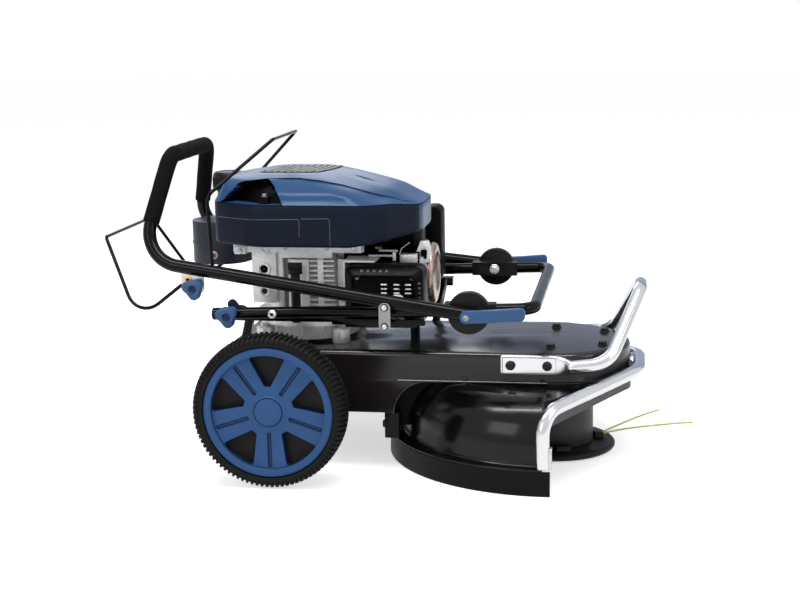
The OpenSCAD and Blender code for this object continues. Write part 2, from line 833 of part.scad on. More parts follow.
// Points on the clip's outer face and just off it, where a line leaves the clip
function line_exit(out, across) =
    let (a = clip_angle, r = clip_place_r + out)
    [r * cos(a) - across * sin(a), r * sin(a) + across * cos(a), line_z];
function line_path(across, route) = concat([line_exit(0, across)], finer(concat([line_exit(line_stub,
    across)], route)));
module trim_line(across, route) {
    color("#b9c93a") in_frame() translate([spindle_x, 0, 0]) line_tube(line_path(across, route),
        line_d / 2);
}
module trim_line_a() { trim_line(line_spread, line_route_a); }
module trim_line_b() { trim_line(-line_spread, line_route_b); }

// Belt drive
module pulley(r, bore) {
    half = pulley_h / 2;
    flange = r + pulley_flange;
    slope = half - pulley_flange_t;
    translate([0, 0, belt_z]) rotate_extrude() polygon([
        [bore, -half], [flange, -half], [flange, -slope], [r - belt_t - gap, -belt_h / 3],
            [r - belt_t - gap, belt_h / 3],
        [flange, slope], [flange, half], [bore, half]
    ]);
}
module drive_pulley() { color("dimgray") in_frame() translate([engine_x, 0, 0]) pulley(drive_r,
    crank_r + fit); }
module driven_pulley() { color("dimgray") in_frame() translate([spindle_x, 0, 0]) pulley(driven_r,
    spindle_r + fit); }
// Lean of the belt's straight runs, and the belt's plan with its arcs round the two pulleys
function belt_lean() = asin((driven_r - drive_r) / (spindle_x - engine_x));
function arc_points(x, r, a0, a1) =
    [for (k = [0 : belt_steps]) let (a = a0 + (a1 - a0) * k / belt_steps) [x + r * cos(a), r * sin(a)]];
function belt_plan(t) =
    let (side = 90 + belt_lean())
    concat(arc_points(spindle_x, driven_r - t, -side, side), arc_points(engine_x, drive_r - t, side,
        360 - side));
module drive_belt() {
    color("#1c1c1c") in_frame() along_z(belt_z - belt_h / 4, belt_z + belt_h / 4) difference() {
        polygon(belt_plan(0));
        polygon(belt_plan(belt_t));
    }
}
function idler_y() =
    (drive_r + (idler_x - engine_x) * sin(belt_lean())) / cos(belt_lean()) + idler_gap + idler_r;
module idler_arm() {
    top = deck_h - deck_sheet;
    low = belt_z + pulley_h / 2 + gap;
    reach = [idler_x, idler_y()] - idler_pivot;
    color("#8a8d90") in_frame() {
        translate([idler_pivot[0], idler_pivot[1], low]) rotate([0, 0, atan2(reach[1], reach[0])]) {
            along_z(0, idler_arm_t) polygon(rounded(
                box_points([-idler_arm_w / 2, norm(reach) + idler_arm_w / 2], idler_arm_w / 2 * [-1, 1]),
                    idler_arm_w / 3));
        }
        post(idler_pivot[0], idler_pivot[1], low + idler_arm_t, top - gap / 2, idler_pin_r);
        post(idler_x, idler_y(), belt_z - pulley_h / 2, low, idler_pin_r);
    }
}
module idler_pulley() {
    color("#3a3a3c") in_frame() translate([idler_x, idler_y(), belt_z]) ring(idler_pin_r + fit, idler_r,
        -pulley_h / 2, pulley_h / 2);
}

// Bumpers
module upper_bumper() {
    mid_z = (bumper_plate[1][0] + bumper_plate[1][1]) / 2;
    start = deck_half + bumper_r + gap;
    path = hoop([[bumper_plate[0][1] - bumper_plate_t, -start, mid_z],
        [bumper_knee_x, -bumper_knee_y, mid_z + bumper_knee_rise],
        [bumper_apex_x, -bumper_apex_half, bumper_top]]);
    color("#d9dbdd") in_frame() {
        bent_tube(path, [bumper_bend, bumper_apex_bend, bumper_apex_bend, bumper_bend], bumper_r);
        both_sides() block(bumper_plate[0], [-deck_half - bumper_plate_t, -deck_half], bumper_plate[1]);
    }
}
module lower_bumper() {
    foot = guard_ledge_z + guard_t;
    path = hoop([[spindle_x, -nose_leg_y, foot], [spindle_x, -nose_leg_y, nose_leg_top],
        [nose_corner_x, -nose_corner_half, nose_z]]);
    color("#d9dbdd") in_frame() {
        bent_tube(path, [leg_bend, nose_bend, nose_bend, leg_bend], nose_r);
        both_sides() block([spindle_x, spindle_x + nose_r + nose_tab_t], about(-nose_leg_y, nose_tab_t),
            [foot, foot + nose_tab_h]);
    }
}

// Handle brackets on the deck
module slanted_leg(top, foot) {
    axes_at([1, 0, 0], [0, 1, 0], unit(foot - top), top)
        translate([-leg_w / 2, -rail_t / 2, 0]) cube([leg_w, rail_t, norm(foot - top)]);
}
module handle_brackets() {
    rail_out = lower_y - lower_r - over;
    rail_mid = rail_out - rail_t / 2;
    cradle_top = pivot_h + (cradle_back - pivot_x) * lower_slope_share - lower_r - gap;
    cradle_low = cradle_top - cradle_h;
    color("#18181a") in_frame() both_sides() difference() {
        union() {
            block([rail_rear, rail_front], [-rail_out, rail_t - rail_out], [rail_low, rail_high]);
            block([rail_front - leg_w, cradle_front], [-rail_out, rail_t - rail_out], [cradle_low,
                cradle_top]);
            along_y(-lower_y - rail_t / 2, -rail_out) polygon([[cradle_back, cradle_low],
                [cradle_front - cradle_cut, cradle_low], [cradle_front, cradle_top], [cradle_back,
                    cradle_top]]);
            slanted_leg([front_leg_x, -rail_mid, cradle_top], [front_foot_x, -leg_foot_y, deck_h - leg_w]);
            slanted_leg([rear_leg_x, -rail_mid, rail_low + leg_w], [rear_foot_x, -leg_foot_y,
                deck_h - leg_w]);
        }
        block([rear_foot_x - leg_w * 2, cradle_front], [-lower_y, 0], [deck_h - leg_w * 2, deck_h]);
        pin_y(pivot_x, pivot_h, -lower_y, 0, bolt_r + fit);
        pin_y(tail_knob_x, tail_z(), -lower_y, 0, knob_stud_r + fit);
    }
}
module strap_plates() {
    out = upper_r + 2 * gap - leg_at(strap_x + strap_w / 2)[1];
    rail_out = lower_y + rail_t / 2;
    color("#c4c5c2") in_frame() both_sides() {
        along_y(-out - strap_t, -out) polygon(rounded([
            [strap_x - strap_w / 2, strap_low], [strap_x + strap_w / 2, strap_low],
                [strap_x + strap_w / 2, strap_shoulder],
            [strap_x + strap_tab_w / 2, strap_high], [strap_x - strap_tab_w / 2, strap_high],
            [strap_x - strap_w / 2, strap_shoulder]
        ], strap_tab_w / 5));
        pin_y(strap_x, strap_bolt_z, -out, -rail_out, strap_bolt_r);
        pin_y(strap_x, strap_bolt_z, -out - strap_t - strap_bolt_r, -out - strap_t, bolt_head_r);
        pin_y(strap_x, strap_rivet_z, -out - strap_t - strap_bolt_r, -out - strap_t, strap_bolt_r);
    }
}
module lock_nuts() {
    rail_in = lower_y - lower_r - over - rail_t;
    color("#22386a") in_frame() both_sides() translate([tail_knob_x, lock_nut_t - rail_in, tail_z()])
        rotate([90, 0, 0])
        linear_extrude(lock_nut_t) polygon(lobe_points(knob_r, knob_lobe));
}

// Engine
module sump_base() {
    color("#c9cbcc") in_frame() translate([engine_x, 0, sump_z]) difference() {
        union() {
            post(0, 0, sump_foot_h / 4, sump_h, sump_r);
            post(0, 0, sump_h - sump_flange_t, sump_h, sump_flange_r);
            for (a = [45 : 90 : 315]) rotate([0, 0, a]) {
                post(sump_foot_place_r, 0, 0, sump_foot_h, sump_foot_r);
                block([sump_r / 2, sump_foot_place_r], rib_t * [-1, 1], [sump_foot_h / 3,
                    sump_foot_h - over]);
            }
            for (a = [0 : 30 : 330]) rotate([0, 0, a])
                block([sump_r / 2, sump_flange_r - rib_t / 2], rib_t / 2 * [-1, 1], [sump_foot_h / 2,
                    sump_h - over]);
        }
        post(0, 0, -over, sump_h + over, crank_r + fit);
    }
}
module crankcase() {
    neck = case_h - case_flange_t;
    color("#b9bcbe") in_frame() translate([engine_x, 0, case_z]) difference() {
        union() {
            post(0, 0, 0, case_block_h, case_r);
            post(0, 0, 0, sump_flange_t, sump_flange_r);
            block([0, case_front - engine_x], case_half * [-1, 1], [sump_flange_t, case_block_h]);
            post(0, 0, case_block_h, neck, case_neck_r);
            post(0, 0, neck, case_h, case_flange_r);
            block([-case_arm_l, case_arm_l], [-case_r - case_arm_w, -case_r], [neck - rib_t, case_h]);
            block([-case_arm_l, 0], [-case_r, 0], [neck - rib_t, neck + rib_t]);
            for (x = [-case_r / 2, case_r / 2]) block(about(x, rib_t), [-case_r - rib_t, 0],
                [sump_flange_t, neck]);
        }
        post(0, 0, -over, case_h + over, crank_r + fit);
        post(dip_x - engine_x, -dip_y, 0, case_h - case_flange_t - rib_t, dip_r + fit);
    }
}
module cylinder_barrel() {
    pitch = (barrel_end - case_front - fin_t) / (fin_count - 1);
    plan = rounded(box_points(fin_w / 2 * [-1, 1], fin_h / 2 * [-1, 1]), fin_round);
    color("#a9adb0") in_frame() translate([0, 0, barrel_z]) {
        pin_x(0, 0, case_front, barrel_end, barrel_r);
        for (k = [0 : fin_count - 1]) along_x(case_front + k * pitch, case_front + k * pitch + fin_t)
            polygon(plan);
        along_x(barrel_end, barrel_end + head_plate_t) polygon(plan);
    }
}
module valve_cover() {
    face = barrel_end + head_plate_t;
    color("#b98a58") in_frame() translate([face, 0, barrel_z]) rotate([0, 90, 0]) rotate_extrude() polygon([
        [0, 0], [valve_r, 0], [valve_r, valve_rim_t], [valve_r - valve_inset / 2, valve_rim_t],
        [valve_r - valve_inset, valve_t], [0, valve_t]
    ]);
}
module muffler() {
    g = muffler_can_gap;
    head_x = barrel_end + head_plate_t / 2;
    color("#6d6f70") in_frame() {
        along_y(-muffler_y[1] + g, -muffler_y[0]) polygon(rounded(
            box_points(muffler_x + g * [1, -1], muffler_z + g * [1, -1]), muffler_round - g / 2));
        pin_y(head_x, barrel_z, -muffler_y[0] - over, -fin_w / 2, muffler_pipe_r);
        for (x = [muffler_x[0] + louvre_w / 2, muffler_x[1] - louvre_w / 2])
            pin_y(x, muffler_z[1] - louvre_w / 2, -muffler_y[1] + muffler_wall, over + g - muffler_y[1],
                bolt_r);
    }
}
module muffler_guard() {
    w = muffler_wall;
    pitch_x = (muffler_x[1] - muffler_x[0]) / (louvre_cols + 1);
    pitch_z = (muffler_z[1] - muffler_z[0]) / (louvre_rows + 1);
    color("#121213") in_frame() difference() {
        along_y(-muffler_y[1], -muffler_y[0]) polygon(rounded(box_points(muffler_x, muffler_z),
            muffler_round));
        along_y(-muffler_y[1] + w, over - muffler_y[0])
            polygon(rounded(box_points(muffler_x + w * [1, -1], muffler_z + w * [1, -1]),
                muffler_round - w));
        for (i = [1 : louvre_cols], k = [1 : louvre_rows])
            block(about(muffler_x[0] + i * pitch_x, louvre_w / 2), [-muffler_y[1] - over,
                w + over - muffler_y[1]],
                about(muffler_z[0] + k * pitch_z, louvre_h / 2));
        for (k = [1 : louvre_rows])
            block([muffler_x[0] - over, muffler_x[1] + over], about(-muffler_y[0] - louvre_w, louvre_w / 4),
                about(muffler_z[0] + k * pitch_z, louvre_h / 2));
    }
}
module spark_plug() {
    low = barrel_z + fin_h / 2;
    elbow = low + plug_r + plug_len;
    head_x = barrel_end + head_plate_t / 2;
    color("#171717") in_frame() {
        translate([head_x, -fin_w / 4, low]) cylinder(r = plug_hex_r, h = plug_r, $fn = 6);
        post(head_x, -fin_w / 4, low + plug_r, elbow, boot_r);
        pin_x(-fin_w / 4, elbow - boot_r, head_x - boot_len, head_x, boot_r / 2);
    }
}
module carburettor() {
    mid = (carb_x[0] + carb_x[1]) / 2;
    mid_y = (carb_y[0] + carb_y[1]) / 2;
    color("#9fa2a4") in_frame() {
        block(carb_x, carb_y, carb_z);
        post(mid, mid_y + carb_bowl_r / 4, carb_z[0] - carb_bowl_h, carb_z[0], carb_bowl_r);
    }
}
module air_filter_box() {
    color("#141415") in_frame() {
        along_y(filter_y[0], filter_y[1]) polygon(rounded([
            [filter_x[0], filter_z[0]], [filter_x[1], filter_z[0]], [filter_x[1], filter_crown],
            [filter_x[1] - filter_round * 2, filter_crown], [filter_x[1] - filter_round * 3,
                filter_z[1] - gap],
            [filter_x[0], filter_z[1] - gap]
        ], filter_round / 3));
    }
}
function shroud_outline(rear, front, wide) =
    [for (s = shroud_plan_shares) [shroud_rear + shroud_l * (rear + (front - rear) * s[0]),
        s[1] * wide * shroud_w / 2]];
function shroud_rounds() = [for (s = shroud_round_shares) s * shroud_w / 2];
function shroud_plan(t) = rounded(inset(shroud_outline(0, 1, 1), t), shroud_rounds());
module fuel_tank() {
    color("#2b3140") in_frame() difference() {
        union() {
            post(tank_x, tank_y, tank_low, tank_high, tank_r);
            post(neck_x, neck_y, tank_high - over, cap_low, neck_r);
            block([tank_x, engine_x - case_neck_r], about(tank_y - tank_bracket_w / 2, tank_bracket_w / 2),
                tank_bracket_z);
        }
        along_z(shroud_z - gap, cap_low + cap_h) polygon(shroud_plan(-gap));
        post(engine_x, 0, tank_low, tank_high, case_r + gap / 2);
    }
}
module fuel_cap() {
    color("#131314") in_frame() translate([neck_x, neck_y, cap_low]) {
        cylinder(r = cap_r - cap_rib_r, h = cap_h);
        for (k = [0 : cap_ribs - 1]) rotate([0, 0, k * 360 / cap_ribs])
            translate([cap_r - cap_rib_r, 0, 0]) cylinder(r = cap_rib_r, h = cap_h - cap_rib_r);
    }
}
module shroud_band() {
    low_end = shroud_z + shroud_rise;
    right = shroud_rear + shroud_l;
    color("#1d2740") in_frame() difference() {
        along_z(shroud_z, cover_z) polygon(shroud_plan(0));
        along_z(shroud_z + shroud_wall, cover_z + over) polygon(shroud_plan(shroud_wall));
        along_y(-shroud_w, shroud_w) polygon([[shroud_rise_x, shroud_z - over], [right + over,
            shroud_z - over],
            [right + over, low_end], [shroud_rise_x, shroud_z - over / 2]]);
        post(engine_x, 0, shroud_z - over, cover_z, crank_hole_r);
    }
}
module dome(t) {
    hull() for (level = dome_shares) {
        z = min(cover_h * level[0], cover_h - t);
        plan = shroud_outline(level[1], level[2], level[3]);
        translate([0, 0, cover_z + max(z - dome_slice, 0)]) linear_extrude(dome_slice)
            polygon(rounded(inset(plan, t), [for (r = shroud_rounds()) r * level[3]]));
    }
}
module shroud_cover() {
    color("#27427a") in_frame() difference() {
        dome(0);
        translate([0, 0, -dome_slice / 2]) dome(shroud_wall);
    }
}
module cover_grille() {
    pitch = (grille_x[1] - grille_x[0] - grille_round) / slat_count;
    mid_x = (grille_x[0] + grille_x[1]) / 2;
    level = dome_shares[len(dome_shares) - 1];
    top = rounded(inset(shroud_outline(level[1], level[2], level[3]), slat_w), [for (r = shroud_rounds())
        r * level[3]]);
    color("#2e2f33") in_frame() along_z(cover_top, cover_top + grille_t) difference() {
        intersection() {
            polygon(top);
            polygon(rounded(box_points(grille_x, grille_half * [-1, 1]), grille_round));
        }
        intersection() {
            polygon(inset(top, slat_w));
            polygon(rounded(box_points(grille_x + slat_w * [1, -1], (grille_half - slat_w) * [-1, 1]),
                grille_round - slat_w));
            for (k = [0 : slat_count - 1]) translate([mid_x + (k - (slat_count - 1) / 2) * pitch, 0])
                rotate(slat_lean) square([slat_w, 4 * grille_half], center = true);
        }
    }
}
module dipstick_tube() {
    color("#151516") in_frame() difference() {
        post(dip_x, -dip_y, dip_low, dip_high, dip_r);
        post(engine_x, 0, dip_low - over, dip_high + over, sump_flange_r + fit);
    }
}
module dipstick_cap() {
    color("#1c2f5c") in_frame() {
        post(dip_x, -dip_y, dip_high, dip_high + dip_cap_h, dip_cap_r);
        block(about(dip_x, dip_cap_r), about(-dip_y, dip_wing / 2),
            [dip_high + dip_cap_h - over, dip_high + dip_cap_h + dip_wing_h]);
    }
}
module crankshaft() {
    color("silver") in_frame() post(engine_x, 0, belt_z - pulley_h / 2 - shaft_tail,
        shroud_z + flywheel_z + flywheel_h + shaft_tail, crank_r);
}
module flywheel() {
    color("#5d6062") in_frame() translate([engine_x, 0, shroud_z + flywheel_z]) {
        ring(crank_r + fit, flywheel_r, 0, flywheel_web);
        ring(crank_r + fit, crank_r + flywheel_rim, 0, flywheel_h);
        for (k = [0 : vane_count - 1]) rotate([0, 0, k * 360 / vane_count])
            block([crank_r + flywheel_rim - over, flywheel_r], vane_t / 2 * [-1, 1], [flywheel_web - over,
                flywheel_h]);
    }
}
module starter_pulley() {
    low = cover_z + starter_gap + shaft_tail;
    color("#d8d4c8") in_frame() translate([engine_x, 0, 0]) {
        post(0, 0, low, low + starter_h, starter_r);
        post(0, 0, low + starter_h, cover_top - shroud_wall - gap, crank_r);
    }
}

// Handles
function lower_z(x) = pivot_h + (x - pivot_x) * lower_slope_share;
function tail_z() = lower_z(tail_knob_x);
function fold_z() = lower_z(fold_x);
function disc_face() = lower_y + sleeve_in;
function upper_y() = disc_face() + 2 * disc_t + gap + upper_r;
function leg_end() = [fold_x, -upper_y(), fold_z()];
function knee() = [knee_x, -knee_half, knee_z];
function grip_corner() = [grip_x, -grip_half, grip_h];
// Middle of the upper handle's right leg at a place along X
function leg_at(x) = leg_end() + (knee() - leg_end()) * (x - fold_x) / (knee_x - fold_x);
module lower_handle() {
    path = hoop([[tail_x, -lower_y, lower_z(tail_x)], [lower_front_x, -lower_y, lower_z(lower_front_x)]]);
    color("#1b1b1d") in_frame() difference() {
        bent_tube(path, [lower_bend, lower_bend], lower_r);
        both_sides() {
            pin_y(pivot_x, pivot_h, -lower_w, 0, bolt_r + fit);
            pin_y(fold_x, fold_z(), -lower_w, 0, stud_r + fit);
            pin_y(tail_knob_x, tail_z(), -lower_w, 0, knob_stud_r + fit);
        }
    }
}
module pivot_sleeves() {
    color("#151516") in_frame() both_sides() difference() {
        union() {
            block(about(fold_x, sleeve_l / 2), about(-lower_y, sleeve_in), about(fold_z(), sleeve_half));
            pin_y(fold_x, fold_z(), -disc_face() - disc_t, over - disc_face(), disc_r);
        }
        straight([tail_x, -lower_y, lower_z(tail_x)], [lower_front_x, -lower_y, lower_z(lower_front_x)],
            lower_r + fit);
        pin_y(fold_x, fold_z(), -lower_w, 0, stud_r + fit);
    }
}
module pivot_discs() {
    inner = disc_face() + disc_t + gap;
    color("#151516") in_frame() both_sides() difference() {
        pin_y(fold_x, fold_z(), -inner - disc_t, -inner, disc_r);
        pin_y(fold_x, fold_z(), -lower_w, 0, stud_r + fit);
        upper_leg(fit);
    }
}
module upper_leg(extra) {
    straight(leg_end() - unit(knee() - leg_end()) * upper_tip, leg_at(knee_x / 2), upper_r + extra);
}
module upper_handle() {
    path = hoop([leg_end() - unit(knee() - leg_end()) * upper_tip, knee(), grip_corner()]);
    pivot_y = -leg_at(front_pivot_x)[1];
    color("#1b1b1d") in_frame() difference() {
        bent_tube(path, [knee_bend, grip_bend, grip_bend, knee_bend], upper_r);
        both_sides() {
            pin_y(fold_x, fold_z(), -lower_w, 0, stud_r + fit);
            pin_y(front_pivot_x, leg_at(front_pivot_x)[2], -pivot_y, 0, bail_r + fit);
        }
    }
}
module foam_grip() {
    start = knee() + (grip_corner() - knee()) * grip_low_share;
    before = start - unit(grip_corner() - knee()) * over;
    color("#202020") in_frame() difference() {
        bent_tube(hoop([start, grip_corner()]), [grip_bend, grip_bend], grip_r);
        bent_tube(hoop([before, grip_corner()]), [grip_bend, grip_bend], upper_r + fit);
    }
}
module lever() {
    face = upper_y() + upper_r + lever_gap;
    tip = [fold_x + lever_l, fold_z() + lever_rise];
    difference() {
        union() {
            pin_y(fold_x, fold_z(), -face - lever_t, -face, lever_eye_r);
            along_y(-face - lever_t, -face) polygon(rounded([
                [fold_x, fold_z() - lever_half - lever_rise / 2], [tip[0], tip[1] - lever_tip_half],
                [tip[0], tip[1] + lever_tip_half], [fold_x, fold_z() + lever_half]
            ], lever_tip_half - over));
            pin_y(fold_x, fold_z(), -face, sleeve_in - lower_y, stud_r);
        }
    }
}
module lever_right() { color("#2a4a86") in_frame() lever(); }
module lever_left() { color("#2a4a86") in_frame() mirror([0, 1, 0]) lever(); }
module knob(x, z, face, depth) {
    translate([x, -face, z]) rotate([90, 0, 0]) {
        cylinder(r = knob_boss_r, h = knob_boss_t);
        translate([0, 0, knob_boss_t]) rotate([0, 0, -90]) linear_extrude(knob_t)
            polygon(lobe_points(knob_r, knob_lobe));
        translate([0, 0, -depth]) cylinder(r = knob_stud_r, h = depth);
    }
}
module tail_knob() { knob(tail_knob_x, tail_z(), lower_y + lower_r + knob_gap, lower_d); }
module tail_knob_right() { color("#2a4a86") in_frame() tail_knob(); }
module tail_knob_left() { color("#2a4a86") in_frame() mirror([0, 1, 0]) tail_knob(); }
function bracket_y() = -leg_at(bail_knob_x)[1];
module bail_brackets() {
    mid = bracket_y();
    color("#b5b7b9") in_frame() both_sides() difference() {
        along_y(-mid - tab_t / 2, tab_t / 2 - mid) polygon(rounded(
            box_points(bracket_x, [bracket_low, knee_z]), bracket_round));
        upper_leg(fit);
        straight(leg_at(0), leg_at(knee_x), upper_r + fit);
        block([bracket_x[0] - over, bracket_x[1] + over], [-lower_w, 0], [leg_at(bail_knob_x)[2],
            2 * knee_z]);
        pin_y(rear_pivot[0], rear_pivot[1], -lower_w, 0, bail_r + fit);
        pin_y(bail_knob_x, bail_knob_z, -lower_w, 0, knob_stud_r + fit);
    }
}
module bail_knob() { knob(bail_knob_x, bail_knob_z, bracket_y() + tab_t / 2 + knob_gap, tab_t + knob_gap); }
module bail_knob_right() { color("#2a4a86") in_frame() bail_knob(); }
module bail_knob_left() { color("#2a4a86") in_frame() mirror([0, 1, 0]) bail_knob(); }

// Bails
module front_bail() {
    z = leg_at(front_pivot_x)[2];
    inner = -leg_at(front_pivot_x)[1] - upper_r - bail_eye_bend - gap;
    path = hoop([[front_pivot_x, -inner - bail_eye_bend - bail_eye_depth, z], [front_pivot_x, -inner, z],
        flip(front_elbow), flip(front_top)]);
    color("#141415") in_frame() bent_tube(path,
        [bail_eye_bend, bail_bend, bail_small_bend, bail_small_bend, bail_bend, bail_eye_bend], bail_r);
}
module rear_bail() {
    inner = bracket_y() - tab_t / 2 - bail_eye_bend - gap;
    path = hoop([[rear_pivot[0], -inner - bail_eye_bend - bail_eye_depth, rear_pivot[1]],
        [rear_pivot[0], -inner, rear_pivot[1]],
        [rear_low[0], -inner, rear_low[1]], [rear_back[0], -rear_back_half, rear_back[1]]]);
    color("#141415") in_frame() bent_tube(path,
        [bail_eye_bend, rear_low_bend, bail_small_bend, bail_small_bend, rear_low_bend, bail_eye_bend],
            bail_r);
}

deck_shell();
machine_bolts();
cutter_guard();
guard_skirt();
guard_brackets();
spindle_housing();
spindle_bearings();
upper_bumper();
lower_bumper();
handle_brackets();
strap_plates();
lock_nuts();
axle();
sump_base();
crankcase();
cylinder_barrel();
valve_cover();
muffler();
muffler_guard();
spark_plug();
carburettor();
air_filter_box();
fuel_tank();
shroud_band();
shroud_cover();
cover_grille();
dipstick_tube();
drive_belt();
crankshaft();
flywheel();
drive_pulley();
starter_pulley();
spindle();
driven_pulley();
head_drum();
head_disc();
trim_line_a();
trim_line_b();
idler_arm();
idler_pulley();
right_rim();
right_tyre();
left_rim();
left_tyre();
lower_handle();
pivot_sleeves();
tail_knob_right();
tail_knob_left();
upper_handle();
foam_grip();
pivot_discs();
bail_brackets();
lever_right();
lever_left();
bail_knob_right();
bail_knob_left();
front_bail();
rear_bail();
fuel_cap();
dipstick_cap();
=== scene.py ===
"""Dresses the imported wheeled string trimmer: detailed pieces, finishes, studio light and camera."""

from __future__ import annotations

import json
import logging
from dataclasses import dataclass
from enum import Enum
from functools import cache
from math import asin, atan2, copysign, cos, hypot, pi, radians, sin, tan, tau
from typing import Iterable, Sequence, Union

import bmesh
import bpy
from bpy.types import ID, Material, Mesh, Node, NodeSocket, NodeTree, Object
from mathutils import Matrix, Quaternion, Vector

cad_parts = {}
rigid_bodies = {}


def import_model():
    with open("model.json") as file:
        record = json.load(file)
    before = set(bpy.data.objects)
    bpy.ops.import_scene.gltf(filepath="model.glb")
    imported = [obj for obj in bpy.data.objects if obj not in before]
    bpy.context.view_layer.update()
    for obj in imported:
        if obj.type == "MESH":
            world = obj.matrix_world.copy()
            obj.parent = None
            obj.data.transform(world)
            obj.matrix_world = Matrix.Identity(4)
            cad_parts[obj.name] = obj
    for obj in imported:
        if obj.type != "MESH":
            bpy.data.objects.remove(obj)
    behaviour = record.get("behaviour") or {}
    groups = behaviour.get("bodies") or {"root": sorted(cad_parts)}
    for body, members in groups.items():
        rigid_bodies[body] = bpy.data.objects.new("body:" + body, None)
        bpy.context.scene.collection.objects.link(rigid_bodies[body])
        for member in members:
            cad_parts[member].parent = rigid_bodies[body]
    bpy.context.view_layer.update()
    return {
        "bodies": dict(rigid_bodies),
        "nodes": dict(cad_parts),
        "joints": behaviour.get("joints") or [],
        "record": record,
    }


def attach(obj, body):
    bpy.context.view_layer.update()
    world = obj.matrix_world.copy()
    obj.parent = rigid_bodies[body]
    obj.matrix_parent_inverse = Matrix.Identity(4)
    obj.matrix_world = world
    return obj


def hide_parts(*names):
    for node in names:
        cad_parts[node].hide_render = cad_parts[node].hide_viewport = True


LOG = logging.getLogger("trimmer")

# Millimetres to metres, and the place along X of the frame's origin in front of the axle
MM = 0.001
CENTRE_X = 136.5
# From millimetres at the axle to metres in the frame
TO_FRAME = Matrix.Diagonal((MM, MM, MM, 1)) @ Matrix.Translation((-CENTRE_X, 0, 0))
# The shared axes, and the turn that stands a flat outline upright, along X and Z
LEVEL = Matrix.Identity(4)
UPRIGHT = Matrix(((1, 0, 0, 0), (0, 0, 1, 0), (0, 1, 0, 0), (0, 0, 0, 1)))
# Radius at which a turned profile closes on its axis, in millimetres
AXIS = 0.01
# Angle above which an edge is sharp, in degrees
SHARP = 32

Point = Sequence[float]
Colour = tuple[float, float, float]
Operand = Union["Signal", float]


class Side(Enum):
    """The machine's right and left side, as the sign of Y."""

    RIGHT = -1
    LEFT = 1

    @property
    def word(self) -> str:
        """The side's name inside node names."""
        return self.name.lower()

    @property
    def letter(self) -> str:
        """The side's letter inside body names."""
        return self.word[0]

    def outward(self, x: float, y: float, z: float) -> Matrix:
        """A frame at a place on this side, whose Z points away from the machine."""
        return facing((x, self.value * y, z), (0, self.value, 0))


class Grain(Enum):
    """The kinds of fine relief that a finish can have."""

    FINE = "fine"
    CAST = "cast"
    BRUSHED = "brushed"
    PORES = "pores"
    PEEL = "peel"


class Signal:
    """A node socket that can be used in sums."""

    def __init__(self, sheet: Sheet, socket: NodeSocket) -> None:
        """Keeps the socket and the sheet that it is on."""
        self.sheet = sheet
        self.socket = socket

    def _math(self, operation: str, first: Operand, second: Operand) -> Signal:
        """Adds a Math node for two operands."""
        made = self.sheet.node("ShaderNodeMath", {"operation": operation}, {0: first, 1: second})
        return Signal(self.sheet, made.outputs[0])

    def __add__(self, other: Operand) -> Signal:
        """The sum."""
        return self._math("ADD", self, other)

    __radd__ = __add__

    def __sub__(self, other: Operand) -> Signal:
        """The difference."""
        return self._math("SUBTRACT", self, other)

    def __rsub__(self, other: Operand) -> Signal:
        """The difference from a number."""
        return self._math("SUBTRACT", other, self)

    def __mul__(self, other: Operand) -> Signal:
        """The product."""
        return self._math("MULTIPLY", self, other)

    __rmul__ = __mul__

    def __truediv__(self, other: Operand) -> Signal:
        """The quotient."""
        return self._math("DIVIDE", self, other)

    def __pow__(self, other: Operand) -> Signal:
        """The power."""
        return self._math("POWER", self, other)

    def __abs__(self) -> Signal:
        """The value without its sign."""
        return self._math("ABSOLUTE", self, 0)


class Sheet:
    """A node tree, with one way to add a node and feed its sockets."""

    def __init__(self, tree: NodeTree) -> None:
        """Keeps the tree and empties it."""
        self.tree = tree
        tree.nodes.clear()

    def node(self, kind: str, settings: dict | None = None, inputs: dict | None = None) -> Node:
        """Adds a node.

        Args:
            kind: The node's type.
            settings: Properties, which are set first.
            inputs: Values or signals, by the socket's name or number.

        Returns:
            The node.
        """
        made = self.tree.nodes.new(kind)
        for key, value in (settings or {}).items():
            setattr(made, key, value)
        for key, value in (inputs or {}).items():
            self.feed(made.inputs[key], value)
        return made

    def feed(self, socket: NodeSocket, value: object) -> None:
        """Links a signal to a socket, or sets the socket to a value.

        Args:
            socket: The socket.
            value: A signal or a plain value.
        """
        if isinstance(value, Signal):
            self.tree.links.new(value.socket, socket)
        else:
            socket.default_value = value

    def out(self, made: Node, output: int | str = 0) -> Signal:
        """One output of a node as a signal."""
        return Signal(self, made.outputs[output])


